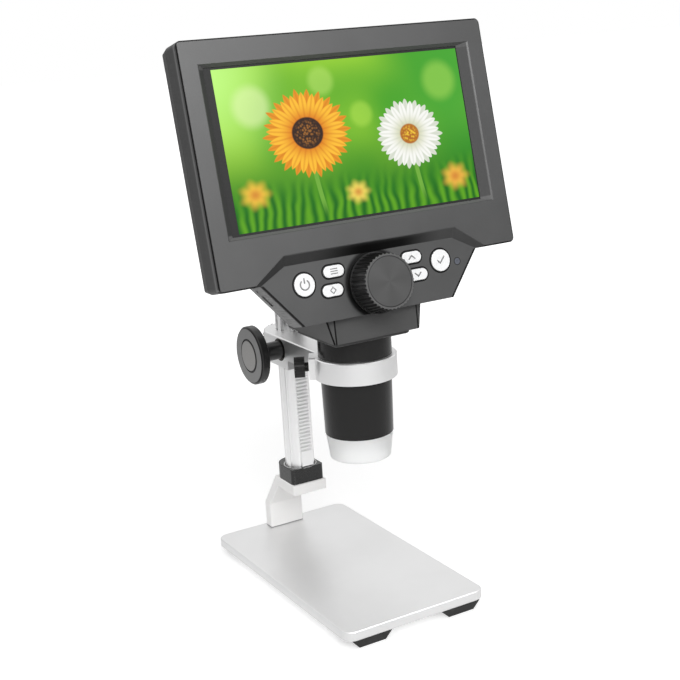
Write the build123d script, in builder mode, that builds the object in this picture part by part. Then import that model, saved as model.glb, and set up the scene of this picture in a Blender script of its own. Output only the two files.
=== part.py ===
"""Seven-inch LCD digital microscope on a rack-and-pinion stand.

Millimetres, +Z up. The origin lies on the surface that the feet stand on, under the middle of the
base plate. +X is the viewer's right. The screen faces -Y and leans back.
"""

import os
from math import acos, atan, cos, degrees, pi, radians, sin, tan

from build123d import *

os.makedirs("parts", exist_ok=True)

# Fits and gaps
running_clearance = 0.06  # a shaft in its bush, on the radius
sliding_clearance = 0.08  # the column in its carriage and the tube in its ring, on the radius
moving_gap = 0.4  # between neighbours that move past each other
edge_break = 0.5  # small chamfers and rounds

# Base plate and feet
plate_width, plate_depth, plate_thickness = 95.0, 170.0, 6.0
plate_corner, plate_edge = 6.5, 0.8
foot_height = 5.3
foot_top_width, foot_top_length = 26.0, 20.0
foot_bottom_width, foot_bottom_length = 17.0, 19.0
foot_side_inset, foot_setback = 17.0, 0.6

# Cranked bracket between plate and column
bracket_width = 24.0
leg_thickness, leg_height, leg_setback = 7.7, 17.0, 3.0
shelf_height, shelf_thickness = 41.0, 7.0
shelf_front_reach, shelf_back_reach, shelf_under_reach = 11.5, 14.0, 10.5
bracket_screw_radius, bracket_screw_head = 2.0, 4.0
bracket_screw_spacing, bracket_screw_depth = 12.0, 12.0

# Column, its cap and its rack
column_y = 49.5
column_radius, column_length = 9.4, 164.0
flute_radius = 1.1
column_screw_radius, column_screw_depth = 3.0, 18.0
column_head_radius, column_head_height, column_socket, column_socket_depth = 5.1, 3.0, 2.7, 1.8
cap_thickness, cap_plug_radius, cap_plug_depth = 2.0, 3.0, 8.0
rack_width, rack_thickness, rack_reach = 8.0, 4.5, 11.0
rack_lift, rack_top_gap = 11.3, 2.0
rack_plain_foot, rack_plain_top = 8.0, 2.5

# Teeth of both rack and pinion pairs
gear_module = 0.75
pressure_angle = radians(20)
backlash = 0.3
pinion_teeth, pinion_length = 16, 10.0
focus_gear_teeth, focus_gear_length = 14, 4.5

# Black collar that stops the carriage at the foot of the column
collar_width, collar_height = 23.0, 10.0
collar_front_reach, collar_back_reach = 10.4, 15.4
collar_front_corner, collar_back_corner, collar_gap = 2.5, 9.5, 0.6

# Carriage: pinion block, column clamp, arm and tube ring in one casting
pinion_height = 134.0  # above the plate, at the middle of the travel
carriage_width, block_depth = 34.0, 20.0
block_above, block_below = 8.0, 11.0
optical_reach = 79.5
ring_radius, ring_height = 24.3, 13.0
lug_reach, lug_width = 27.2, 12.0
clamp_direction = 151.0  # degrees round the tube from +X
pinion_cavity_gap = 0.35
right_bush_radius = 4.5

# Coarse focus shaft and knob
coarse_shaft_radius = 2.5
knob_radius, knob_thickness, knob_face_x = 18.0, 5.6, -38.0
hub_radius = 5.7
inlay_radius, inlay_depth, inlay_proud, inlay_gap = 9.7, 0.8, 0.3, 0.5
knob_floor = 3.0
ring_outer_radius, ring_thickness = 5.0, 2.0

# Rear lock knob and ring thumbscrew
lock_radius, lock_length, lock_stand_off = 7.0, 9.0, 0.6
lock_shaft_radius, lock_flutes, lock_flute_radius = 2.5, 14, 0.9
thumb_radius, thumb_length, thumb_stand_off = 6.1, 6.0, 2.4
thumb_shaft_radius, thumb_flutes, thumb_flute_radius = 2.9, 24, 0.45
screw_tip_gap, screw_engagement = 0.3, 5.0

# Tube, light and lens
tube_radius, tube_foot_radius, tube_end_radius = 21.5, 20.8, 20.15
tube_bore = 18.6
tube_drop, tube_joint_drop, tube_neck = 47.0, 1.5, 8.8
tube_flange_radius = 24.0
socket_wall, socket_depth = 1.2, 6.0
shroud_top_radius, shroud_bottom_radius = 19.9, 18.0
shroud_length, shroud_wall, spigot_gap, spigot_height = 14.7, 1.6, 0.05, 3.0
light_board_thickness, light_board_bore = 1.6, 9.0
light_count, light_size, light_height, light_circle = 8, 3.0, 1.2, 13.0
carrier_length, carrier_lift = 18.0, 12.0
barrel_radius, barrel_bore, barrel_length = 10.0, 6.4, 26.0
lens_thickness, lens_setback = 3.0, 1.0
focus_travel = 6.0
focus_rack_thickness, focus_rack_width, focus_rack_gap = 5.0, 7.5, 2.0
focus_rack_above, focus_rack_below = 11.0, 10.0
sensor_board_size, sensor_board_thickness = 32.0, 1.6
sensor_size, sensor_height, notch_gap = 6.0, 1.4, 0.6

# Display head: levels are distances in front of the screen's surface
head_tilt = radians(12.84)
edge_forward, edge_rise = 26.856, 55.245  # its lower edge from the tube's axis and the carriage's top
screen_width, screen_height, film_thickness = 154.08, 85.92, 0.15
module_side, module_end, module_thickness = 5.96, 6.04, 4.5
bezel_above, bezel_below, bezel_corner = 9.8, 22.8, 3.0
bezel_level, window_level, panel_level, parting_level = 2.5, 0.5, -1.2, -2.4
side_level, back_level, back_inset = -12.3, -20.0, 1.5
wall, lip_thickness, lip_depth, lip_gap = 2.2, 1.2, 2.0, 0.1
window_side, window_end, window_shift = 2.4, 1.34, -2.0
recess_side, recess_end = 5.4, 1.7
panel_top_half, panel_bottom_half, panel_drop = 69.5, 49.0, 25.2
cut_corner_half, cut_top_half, cut_rise = 75.0, 55.0, 14.2
foot_top_half, foot_rise = 54.0, 8.3
recess_overrun, recess_backing = 30.0, 3.0
panel_thickness = 2.4

# Buttons, indicator and focus wheel: rises and drops are from the level of the bezel's lower edge
round_button_radius, slot_button_width, slot_button_height = 6.2, 12.8, 6.4
button_gap, button_proud, button_travel, button_crown = 0.35, 0.8, 0.6, 0.4
flange_reach, flange_thickness, flange_gap = 0.9, 0.8, 0.3
round_button_u, round_button_rise = 44.1, -3.2
upper_button_u, upper_button_rise = 25.2, 1.4
lower_button_u, lower_button_rise = 27.6, -8.8
switch_size, switch_height = 6.0, 1.8
plunger_radius, plunger_height, plunger_gap = 1.5, 0.7, 0.3
indicator_u, indicator_rise, indicator_radius = 55.5, -5.4, 1.2
wheel_rise = -9.2
wheel_face_level, wheel_front_radius, wheel_back_radius = 14.0, 15.5, 16.8
wheel_flange_radius, wheel_flange_thickness = 17.2, 1.6
knurl_count, knurl_radius = 40, 0.85
wheel_cap_radius, wheel_cap_depth, wheel_hub_depth = 14.1, 1.2, 9.0
focus_shaft_radius, bush_radius, panel_bush_length = 3.0, 5.0, 6.0
bush_flange_radius, bush_flange_thickness = 6.5, 1.5
focus_gear_gap = 3.5

# Electronics, rear shell, and housing above the tube
boss_radius, boss_gap, boss_wall_gap, boss_level = 3.2, 1.6, 1.9, -5.0
small_screw_radius, small_head_radius, small_head_height = 1.25, 2.6, 2.0
pillar_hole_depth, cover_screw_depth = 3.0, 6.0
battery_width, battery_height, battery_thickness, battery_u = 62.0, 48.0, 5.5, -40.0
board_width, board_height, board_thickness, board_u = 72.0, 74.0, 1.6, 36.0
board_level, inner_v, post_radius, post_inset, chip_size = -8.5, 4.0, 2.5, 4.0, 18.0
button_board_width, button_board_height, button_board_rise = 102.0, 24.0, -4.2
board_posts = ((13.0, 4.8), (40.0, -13.2))
shaft_hole_gap = 0.5
usb_width, usb_height, usb_depth, usb_wall, usb_along = 7.6, 2.7, 6.0, 0.4, 10.9
card_width, card_height, card_depth, card_along = 13.0, 1.9, 14.0, 13.0
card_mouth_width, card_mouth_height, card_mouth_depth = 11.2, 0.9, 12.0
reset_along, reset_radius = 3.2, 0.8
port_margin, port_setback = 0.25, 1.0
housing_top_half, housing_bottom_half, housing_lean_height = 31.0, 28.0, 13.5
housing_rise = 15.2  # above the top of the ring
housing_front_reach, housing_back_reach = 27.2, 27.0
housing_back_height = 30.8
facet_foot, facet_top, facet_side = 1.2, 4.2, 1.5
seam_width, seam_depth, seam_length = 0.6, 0.6, 16.0
roof_rise, roof_run, throat_rise, throat_level = 21.8, 9.0, -19.2, -6.0
housing_screw_u, housing_screw_rises = 26.0, (11.8, -14.2)
housing_boss_depth, housing_screw_depth = 8.0, 7.0
cover_thickness, cover_inset, cover_front_inset = 3.0, 2.8, 4.5
cover_corner, cover_screw_inset = 4.0, 3.7
cover_boss_height = 6.0

# Sizes, heights and places that follow
module_width = screen_width + 2 * module_side
module_height = screen_height + 2 * module_end
window_width = screen_width + 2 * window_side
window_height = screen_height + 2 * window_end
boss_inset = wall + boss_wall_gap + boss_radius
bezel_width = module_width + 2 * (boss_gap + boss_radius + boss_inset)
bezel_height = module_height + bezel_above + bezel_below
bezel_shift = (bezel_above - bezel_below) / 2
bezel_bottom = bezel_shift - bezel_height / 2
panel_bottom = bezel_bottom - panel_drop
cut_top = bezel_bottom + cut_rise
wheel_v = bezel_bottom + wheel_rise
button_board_v = bezel_bottom + button_board_rise
plate_top = foot_height + plate_thickness
shelf_top = plate_top + shelf_height
column_top = shelf_top + column_length
pinion_z = plate_top + pinion_height
carriage_bottom = pinion_z - block_below
carriage_top = pinion_z + block_above
ring_bottom = carriage_top - ring_height
tube_y = column_y - optical_reach
rack_face = column_y - rack_reach
addendum = gear_module
dedendum = 1.25 * gear_module
tooth_pitch = pi * gear_module
pinion_radius = gear_module * pinion_teeth / 2
focus_gear_radius = gear_module * focus_gear_teeth / 2
pinion_y = rack_face + addendum - pinion_radius
pinion_bore = pinion_radius + addendum + pinion_cavity_gap
tube_bottom = carriage_top - tube_drop
tube_joint = ring_bottom - tube_joint_drop
housing_bottom = carriage_top + housing_rise
tube_top = housing_bottom + tube_neck
light_board_bottom = tube_bottom + spigot_height
carrier_bottom = light_board_bottom + light_board_thickness + carrier_lift + focus_travel
carrier_top = carrier_bottom + carrier_length
panel_back = panel_level - panel_thickness
button_foot = panel_back - flange_gap - flange_thickness
button_board_level = button_foot - button_travel - plunger_gap - plunger_height - switch_height
shell_floor = back_level + wall
gear_level = back_level - focus_gear_gap

head = Plane(
    origin=(
        0,
        tube_y - edge_forward - bezel_bottom * sin(head_tilt),
        carriage_top + edge_rise - bezel_bottom * cos(head_tilt),
    ),
    x_dir=(1, 0, 0),
    z_dir=(0, -cos(head_tilt), sin(head_tilt)),
)
head_normal = Axis(head.origin, head.z_dir)
wheel_axis = Plane(
    origin=head.from_local_coords((0, wheel_v, 0)), x_dir=head.x_dir, z_dir=head.z_dir
)
pinion_plane = Plane(origin=(0, pinion_y, pinion_z), x_dir=(0, 1, 0), z_dir=(1, 0, 0))
clamp_axis = Plane(
    origin=(0, tube_y, carriage_top - ring_height / 2),
    x_dir=(0, 0, 1),
    z_dir=(cos(radians(clamp_direction)), sin(radians(clamp_direction)), 0),
)
lock_axis = Plane(
    origin=(0, column_y, (carriage_bottom + carriage_top) / 2), x_dir=(1, 0, 0), z_dir=(0, 1, 0)
)
tube_section = Plane(origin=(0, tube_y, 0), x_dir=(1, 0, 0), z_dir=(0, -1, 0))
tube_axis = Axis((0, tube_y, 0), (0, 0, 1))


def save(piece, name):
    """Label a finished piece and write its STEP file."""
    piece.part.label = name
    export_step(piece.part, f"parts/{name}.step")


def section(*points):
    """A straight-sided outline through the points as they are given."""
    Polygon(*points, align=Align.NONE)


def disc(plane, radius, thickness, mode=Mode.ADD):
    """A cylinder that stands on the plane's origin and grows along its normal."""
    with BuildSketch(plane) as face:
        Circle(radius)
    extrude(face.sketch, amount=thickness, mode=mode)


def small_screw(seat, length):
    """A socket-head screw: the head stands in front of its seat and the shank goes behind it."""
    disc(seat, small_head_radius, small_head_height)
    disc(seat, small_screw_radius, -length)
    with BuildSketch(seat.offset(small_head_height)) as socket:
        RegularPolygon(small_screw_radius, 6)
    extrude(socket.sketch, amount=-small_head_height / 2, mode=Mode.SUBTRACT)


def on_head(u, v, level=0.0):
    """A plane parallel to the screen, with its origin at u to the right and v up."""
    return Plane(origin=head.from_local_coords((u, v, level)), x_dir=head.x_dir, z_dir=head.z_dir)


def across(v, level):
    """Where a point of the head's middle section lies in depth and height."""
    point = head.from_local_coords((0, v, level))
    return point.Y, point.Z


def involute(angle):
    return tan(angle) - angle


def gear_outline(teeth):
    """A spur gear's outline, with one tooth centred on the sketch's x axis."""
    radius = gear_module * teeth / 2
    base = radius * cos(pressure_angle)
    half_tooth = pi / (2 * teeth) - backlash / (4 * radius)

    def half_angle(at):
        return half_tooth + involute(pressure_angle) - involute(acos(base / max(at, base)))

    steps = (radius - dedendum, base, radius, radius + addendum / 2, radius + addendum)
    rising = [(at, -half_angle(at)) for at in steps]
    flanks = rising + [(at, -angle) for at, angle in reversed(rising)]
    turns = [2 * pi * tooth / teeth for tooth in range(teeth)]
    section(*[(at * cos(turn + angle), at * sin(turn + angle)) for turn in turns for at, angle in flanks])


def rack_gaps(low, high):
    """Gaps between rack teeth: x runs into the rack from the tips, y along it from one gap."""
    mouth = tooth_pitch / 4 + addendum * tan(pressure_angle) + backlash / 4
    floor = tooth_pitch / 4 - dedendum * tan(pressure_angle) + backlash / 4
    depth = addendum + dedendum
    for number in range(int(low / tooth_pitch), int(high / tooth_pitch) + 1):
        middle = number * tooth_pitch
        section(
            (0, middle - mouth), (depth, middle - floor), (depth, middle + floor), (0, middle + mouth)
        )


# Base plate: thick aluminium, drilled and countersunk from below for the bracket
leg_back = plate_depth / 2 - leg_setback
leg_middle = leg_back - leg_thickness / 2
under_plate = Plane(origin=(0, leg_middle, foot_height), x_dir=(1, 0, 0), z_dir=(0, 0, -1))
under_leg = Plane(origin=(0, leg_middle, plate_top), x_dir=(1, 0, 0), z_dir=(0, 0, -1))

with BuildPart() as base_plate:
    with BuildSketch(Plane.XY.offset(foot_height)):
        RectangleRounded(plate_width, plate_depth, plate_corner)
    extrude(amount=plate_thickness)
    fillet(base_plate.faces().sort_by(Axis.Z)[-1].edges(), radius=plate_edge)
    chamfer(base_plate.faces().sort_by(Axis.Z)[0].edges(), length=edge_break)
    with Locations(under_plate):
        with GridLocations(bracket_screw_spacing, 0, 2, 1):
            CounterSinkHole(bracket_screw_radius, bracket_screw_head, counter_sink_angle=90)
save(base_plate, "base_plate")

# Four rubber feet under the corners, wider at the plate than on the table
for end, y_side in (("front", -1), ("back", 1)):
    for hand, x_side in (("left", -1), ("right", 1)):
        foot_place = (
            x_side * (plate_width / 2 - foot_side_inset),
            y_side * (plate_depth / 2 - foot_setback - foot_top_length / 2),
        )
        with BuildPart() as foot:
            with BuildSketch(Plane.XY):
                with Locations(foot_place):
                    Rectangle(foot_bottom_width, foot_bottom_length)
            with BuildSketch(Plane.XY.offset(foot_height)):
                with Locations(foot_place):
                    Rectangle(foot_top_width, foot_top_length)
            loft()
            fillet(foot.faces().sort_by(Axis.Z)[0].edges(), radius=edge_break)
        save(foot, f"foot_{end}_{hand}")

# Cranked bracket: a leg on the plate, a slanted web, and a shelf under the column
with BuildPart() as column_bracket:
    with BuildSketch(Plane.YZ):
        section(
            (leg_back, plate_top),
            (leg_back, plate_top + leg_height),
            (column_y + shelf_back_reach, shelf_top),
            (column_y - shelf_front_reach, shelf_top),
            (column_y - shelf_front_reach, shelf_top - shelf_thickness),
            (column_y + shelf_under_reach, shelf_top - shelf_thickness),
            (leg_back - leg_thickness, plate_top + leg_height),
            (leg_back - leg_thickness, plate_top),
        )
    extrude(amount=bracket_width / 2, both=True)
    chamfer(column_bracket.faces().filter_by(Axis.X).edges(), length=edge_break)
    with Locations(under_leg):
        with GridLocations(bracket_screw_spacing, 0, 2, 1):
            Hole(bracket_screw_radius, depth=bracket_screw_depth)
    disc(Plane(origin=(0, column_y, shelf_top)), column_screw_radius, -shelf_thickness,
         mode=Mode.SUBTRACT)
save(column_bracket, "column_bracket")

with BuildPart() as bracket_screws:
    for x in (-bracket_screw_spacing / 2, bracket_screw_spacing / 2):
        screw_seat = Plane(origin=(x, leg_middle, foot_height))
        disc(screw_seat, bracket_screw_radius, plate_thickness + bracket_screw_depth)
        with BuildSketch(screw_seat):
            Circle(bracket_screw_head)
        extrude(amount=bracket_screw_head - bracket_screw_radius, taper=45)
        with BuildSketch(screw_seat):
            RegularPolygon(bracket_screw_radius, 6)
        extrude(amount=bracket_screw_radius, mode=Mode.SUBTRACT)
save(bracket_screws, "bracket_screws")

# Column: a round extrusion with fluted sides and a slot in front for the rack
rack_back = rack_face + rack_thickness
column_foot = Plane(origin=(0, column_y, shelf_top))
column_head = Plane(origin=(0, column_y, column_top))
with BuildPart() as column:
    with BuildSketch(column_foot):
        Circle(column_radius)
        with Locations((0, rack_back - column_y - column_radius)):
            Rectangle(rack_width, 2 * column_radius, mode=Mode.SUBTRACT)
        for side in (0, 180):
            with PolarLocations(column_radius, 3, side - 30, 60, endpoint=True):
                Circle(flute_radius, mode=Mode.SUBTRACT)
    extrude(amount=column_length)
    disc(column_foot, column_screw_radius, column_screw_depth, mode=Mode.SUBTRACT)
    disc(column_head, cap_plug_radius, -cap_plug_depth, mode=Mode.SUBTRACT)
save(column, "column")

with BuildPart() as column_screw:
    screw_seat = Plane(origin=(0, column_y, shelf_top - shelf_thickness), z_dir=(0, 0, -1))
    disc(screw_seat, column_screw_radius, -shelf_thickness - column_screw_depth)
    disc(screw_seat, column_head_radius, column_head_height)
    with BuildSketch(screw_seat.offset(column_head_height)):
        RegularPolygon(column_socket, 6)
    extrude(amount=-column_socket_depth, mode=Mode.SUBTRACT)
save(column_screw, "column_screw")

with BuildPart() as column_cap:
    disc(column_head, column_radius, cap_thickness)
    fillet(column_cap.faces().sort_by(Axis.Z)[-1].edges(), radius=cap_thickness / 2)
    disc(column_head, cap_plug_radius, -cap_plug_depth)
save(column_cap, "column_cap")

# Rack: a steel bar pressed into the column's slot, plain at its foot and top
rack_bottom = shelf_top + rack_lift
rack_top = column_top - rack_top_gap
rack_side = Plane(origin=(0, rack_face, pinion_z), x_dir=(0, 1, 0), z_dir=(1, 0, 0))
with BuildPart() as column_rack:
    with BuildSketch(Plane(origin=(0, rack_face + rack_thickness / 2, rack_bottom))):
        Rectangle(rack_width, rack_thickness)
    extrude(amount=rack_top - rack_bottom)
    with BuildSketch(rack_side):
        rack_gaps(
            rack_bottom + rack_plain_foot + tooth_pitch / 2 - pinion_z,
            rack_top - rack_plain_top - tooth_pitch / 2 - pinion_z,
        )
    extrude(amount=rack_width, both=True, mode=Mode.SUBTRACT)
save(column_rack, "column_rack")

# Collar: flat in front and rounded behind, slipped over the column onto the shelf
with BuildPart() as column_collar:
    with BuildSketch(column_foot) as collar_outline:
        with Locations((0, (collar_back_reach - collar_front_reach) / 2)):
            Rectangle(collar_width, collar_front_reach + collar_back_reach)
        fillet(collar_outline.vertices().group_by(Axis.Y)[-1], radius=collar_back_corner)
        fillet(collar_outline.vertices().group_by(Axis.Y)[0], radius=collar_front_corner)
        Circle(column_radius + collar_gap, mode=Mode.SUBTRACT)
    extrude(amount=collar_height)
    chamfer(column_collar.faces().sort_by(Axis.Z)[-1].outer_wire().edges(), length=edge_break / 2)
save(column_collar, "column_collar")

# Carriage: the pinion's block, the clamp round the column, the arm and the ring in one casting
block_front = pinion_y - block_depth / 2
cavity_half = pinion_length / 2 + moving_gap
with BuildPart() as carriage:
    with BuildSketch(Plane.XY.offset(carriage_bottom)):
        with Locations((0, (column_y + block_front) / 2)):
            Rectangle(carriage_width, column_y - block_front)
        with Locations((0, column_y)):
            Circle(carriage_width / 2)
    extrude(amount=carriage_top - carriage_bottom)
    with BuildSketch(Plane.XY.offset(ring_bottom)):
        with Locations((0, (tube_y + pinion_y) / 2)):
            Rectangle(carriage_width, pinion_y - tube_y)
        with Locations((0, tube_y)):
            Circle(ring_radius)
    extrude(amount=ring_height)
    with BuildSketch(clamp_axis):
        Rectangle(ring_height, lug_width)
    extrude(amount=lug_reach)
    chamfer(carriage.faces().sort_by(Axis.Z)[-1].outer_wire().edges(), length=edge_break)
    disc(Plane(origin=(0, tube_y, ring_bottom)), tube_radius + sliding_clearance, ring_height,
         mode=Mode.SUBTRACT)
    with BuildSketch(Plane(origin=(0, column_y, carriage_bottom))):
        Circle(column_radius + sliding_clearance)
        with Locations((0, -(rack_reach + moving_gap) / 2)):
            Rectangle(rack_width + 2 * moving_gap, rack_reach + moving_gap)
    extrude(amount=carriage_top - carriage_bottom, mode=Mode.SUBTRACT)
    disc(pinion_plane.offset(cavity_half), pinion_bore, -cavity_half - carriage_width / 2,
         mode=Mode.SUBTRACT)
    disc(pinion_plane, right_bush_radius, carriage_width / 2, mode=Mode.SUBTRACT)
    disc(clamp_axis, thumb_shaft_radius + running_clearance, lug_reach, mode=Mode.SUBTRACT)
    disc(lock_axis, lock_shaft_radius + running_clearance, carriage_width, mode=Mode.SUBTRACT)
save(carriage, "carriage")

# Bronze bushes that carry the pinion's shaft: the left one is wide enough to pass the pinion
with BuildPart() as pinion_bushes:
    disc(pinion_plane.offset(-cavity_half), pinion_bore, cavity_half - carriage_width / 2)
    disc(pinion_plane.offset(cavity_half), right_bush_radius, carriage_width / 2 - cavity_half)
    disc(pinion_plane.offset(-carriage_width / 2), coarse_shaft_radius + running_clearance,
         carriage_width, mode=Mode.SUBTRACT)
save(pinion_bushes, "pinion_bushes")

# Coarse drive: shaft, pinion, and the knob with its inlaid disc
shaft_right = carriage_width / 2 + moving_gap + ring_thickness
shaft_left = knob_face_x + knob_floor
with BuildPart() as coarse_shaft:
    disc(pinion_plane.offset(shaft_left), coarse_shaft_radius, shaft_right - shaft_left)
    chamfer(coarse_shaft.faces().sort_by(Axis.X)[-1].edges(), length=edge_break)
save(coarse_shaft, "coarse_shaft")

with BuildPart() as coarse_pinion:
    with BuildSketch(pinion_plane.offset(-pinion_length / 2)):
        gear_outline(pinion_teeth)
        Circle(coarse_shaft_radius, mode=Mode.SUBTRACT)
    extrude(amount=pinion_length)
save(coarse_pinion, "coarse_pinion")

hub_end = -carriage_width / 2 - moving_gap
with BuildPart() as coarse_knob:
    disc(pinion_plane.offset(knob_face_x), knob_radius, knob_thickness)
    chamfer(coarse_knob.edges().group_by(Axis.X)[0], length=2 * edge_break)
    chamfer(coarse_knob.edges().group_by(Axis.X)[-1], length=edge_break)
    disc(pinion_plane.offset(knob_face_x + knob_thickness), hub_radius,
         hub_end - knob_face_x - knob_thickness)
    disc(pinion_plane.offset(knob_face_x), inlay_radius + inlay_gap, inlay_depth, mode=Mode.SUBTRACT)
    disc(pinion_plane.offset(shaft_left), coarse_shaft_radius, hub_end - shaft_left,
         mode=Mode.SUBTRACT)
save(coarse_knob, "coarse_knob")

with BuildPart() as coarse_knob_cap:
    disc(pinion_plane.offset(knob_face_x - inlay_proud), inlay_radius, inlay_depth + inlay_proud)
    chamfer(coarse_knob_cap.faces().sort_by(Axis.X)[0].edges(), length=inlay_proud)
save(coarse_knob_cap, "coarse_knob_cap")

with BuildPart() as shaft_ring:
    with BuildSketch(pinion_plane.offset(shaft_right - ring_thickness)):
        Circle(ring_outer_radius)
        Circle(coarse_shaft_radius, mode=Mode.SUBTRACT)
    extrude(amount=ring_thickness)
    chamfer(shaft_ring.faces().sort_by(Axis.X)[-1].outer_wire().edges(), length=edge_break)
save(shaft_ring, "shaft_ring")

# Lock knob behind the column: a fluted head on a screw that presses on the column
lock_start = carriage_width / 2 + lock_stand_off
with BuildPart() as lock_knob:
    disc(lock_axis.offset(lock_start), lock_radius, lock_length)
    fillet(lock_knob.edges().group_by(Axis.Y)[-1], radius=2 * edge_break)
    with BuildSketch(lock_axis.offset(lock_start)):
        with PolarLocations(lock_radius, lock_flutes):
            Circle(lock_flute_radius)
    extrude(amount=lock_length, mode=Mode.SUBTRACT)
    disc(lock_axis.offset(lock_start), lock_shaft_radius, screw_engagement, mode=Mode.SUBTRACT)
save(lock_knob, "lock_knob")

with BuildPart() as lock_screw:
    disc(lock_axis.offset(column_radius + screw_tip_gap), lock_shaft_radius,
         lock_start + screw_engagement - column_radius - screw_tip_gap)
    chamfer(lock_screw.edges().group_by(Axis.Y)[0], length=edge_break)
save(lock_screw, "lock_screw")

# Thumbscrew in the ring's lug: it presses on the tube and stops the head from turning
thumb_start = lug_reach + thumb_stand_off
with BuildPart() as clamp_knob:
    with BuildSketch(clamp_axis.offset(thumb_start)):
        Circle(thumb_radius)
        with PolarLocations(thumb_radius, thumb_flutes):
            Circle(thumb_flute_radius, mode=Mode.SUBTRACT)
    extrude(amount=thumb_length)
    disc(clamp_axis.offset(thumb_start), thumb_shaft_radius, screw_engagement, mode=Mode.SUBTRACT)
save(clamp_knob, "clamp_knob")

with BuildPart() as clamp_screw:
    disc(clamp_axis.offset(tube_radius + screw_tip_gap), thumb_shaft_radius,
         thumb_start + screw_engagement - tube_radius - screw_tip_gap)
save(clamp_screw, "clamp_screw")


# Head outlines: the screen's rounded rectangle with the control panel's trapezoid below it
def head_outline(inset):
    """The head's outline, moved inwards all round by the inset."""
    with BuildSketch() as outline:
        with Locations((0, bezel_shift)):
            RectangleRounded(bezel_width, bezel_height, bezel_corner)
        section(
            (-panel_top_half, bezel_bottom + bezel_corner),
            (-panel_top_half, bezel_bottom),
            (-panel_bottom_half, panel_bottom),
            (panel_bottom_half, panel_bottom),
            (panel_top_half, bezel_bottom),
            (panel_top_half, bezel_bottom + bezel_corner),
        )
        if inset:
            offset(amount=-inset, kind=Kind.INTERSECTION)
    return outline.sketch


outer_outline = head_outline(0)
inner_outline = head_outline(wall)
lip_outline = head_outline(wall + lip_gap)
cavity_outline = head_outline(wall + lip_gap + lip_thickness)
corner_bosses = [
    (x_side * (bezel_width / 2 - boss_inset), bezel_shift + y_side * (bezel_height / 2 - boss_inset))
    for x_side in (-1, 1)
    for y_side in (-1, 1)
]
panel_posts = [(x_side * u, bezel_bottom + rise) for x_side in (-1, 1) for u, rise in board_posts]


def panel_part(mode):
    """The part of a head sketch that lies behind the control panel and its recess wall."""
    high = cut_top + recess_backing
    low = panel_bottom - wall
    with Locations((0, (high + low) / 2)):
        Rectangle(bezel_width, high - low, mode=mode)


def control_recess(top_half, top, corner_half):
    """The control recess's outline: its slanted sides run on past the head's lower edge."""
    slope = (corner_half - top_half) / (top - bezel_bottom)
    low = bezel_bottom - recess_overrun
    low_half = corner_half + slope * recess_overrun
    section((-top_half, top), (top_half, top), (low_half, low), (-low_half, low))


# The six buttons: two round ones at the ends and two pairs of slot buttons beside the wheel
buttons = {
    "power_button": (-round_button_u, bezel_bottom + round_button_rise),
    "confirm_button": (round_button_u, bezel_bottom + round_button_rise),
    "menu_button": (-upper_button_u, bezel_bottom + upper_button_rise),
    "mode_button": (-lower_button_u, bezel_bottom + lower_button_rise),
    "up_button": (upper_button_u, bezel_bottom + upper_button_rise),
    "down_button": (lower_button_u, bezel_bottom + lower_button_rise),
}
indicator_place = (indicator_u, bezel_bottom + indicator_rise)


def button_outline(place, margin):
    """A round or slot button's outline, with a margin all round."""
    with Locations(place):
        if abs(place[0]) == round_button_u:
            Circle(round_button_radius + margin)
        else:
            SlotOverall(slot_button_width + 2 * margin, slot_button_height + 2 * margin)


# Front bezel: a moulded frame with a sloped screen recess and a sunken control panel
with BuildPart() as front_bezel:
    with BuildSketch(head.offset(parting_level)):
        add(outer_outline)
    extrude(amount=bezel_level - parting_level)
    front_edges = front_bezel.faces().sort_by(head_normal)[-1].edges()
    chamfer(front_edges, length=edge_break)
    with BuildSketch(head.offset(window_level)):
        with Locations((window_shift, 0)):
            Rectangle(window_width, window_height)
    with BuildSketch(head.offset(bezel_level)):
        Rectangle(window_width + 2 * recess_side, window_height + 2 * recess_end)
    loft(mode=Mode.SUBTRACT)
    with BuildSketch(head):
        with Locations((window_shift, 0)):
            Rectangle(window_width, window_height)
    extrude(amount=window_level, mode=Mode.SUBTRACT)
    with BuildSketch(head.offset(panel_level)):
        control_recess(foot_top_half, bezel_bottom + foot_rise, panel_top_half)
    with BuildSketch(head.offset(bezel_level)):
        control_recess(cut_top_half, cut_top, cut_corner_half)
    loft(mode=Mode.SUBTRACT)
    with BuildSketch(head.offset(parting_level)):
        add(cavity_outline)
        panel_part(Mode.SUBTRACT)
    extrude(amount=-parting_level, mode=Mode.SUBTRACT)
    with BuildSketch(head.offset(parting_level)):
        add(lip_outline)
        add(cavity_outline, mode=Mode.SUBTRACT)
    extrude(amount=-lip_depth)
    with BuildSketch(head.offset(parting_level)):
        add(lip_outline)
        panel_part(Mode.INTERSECT)
    extrude(amount=panel_back - parting_level)
    for place in corner_bosses:
        disc(on_head(*place), boss_radius, boss_level)
        disc(on_head(*place, boss_level), small_screw_radius, pillar_hole_depth, mode=Mode.SUBTRACT)
    for place in panel_posts:
        disc(on_head(*place, panel_back), post_radius, button_board_level - panel_back)
    with BuildSketch(head.offset(panel_level)):
        for place in buttons.values():
            button_outline(place, button_gap)
        with Locations(indicator_place):
            Circle(indicator_radius)
        with Locations((0, wheel_v)):
            Circle(bush_radius)
    extrude(amount=-panel_thickness, mode=Mode.SUBTRACT)
save(front_bezel, "front_bezel")

# Rear shell: straight sides, then a slight draft towards a flat back
draft_angle = degrees(atan(back_inset / (side_level - back_level)))
with BuildPart() as shell_form:
    with BuildSketch(head.offset(parting_level)):
        add(outer_outline)
    extrude(amount=side_level - parting_level)
    with BuildSketch(head.offset(side_level)):
        add(outer_outline)
    extrude(amount=back_level - side_level, taper=draft_angle)


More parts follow.
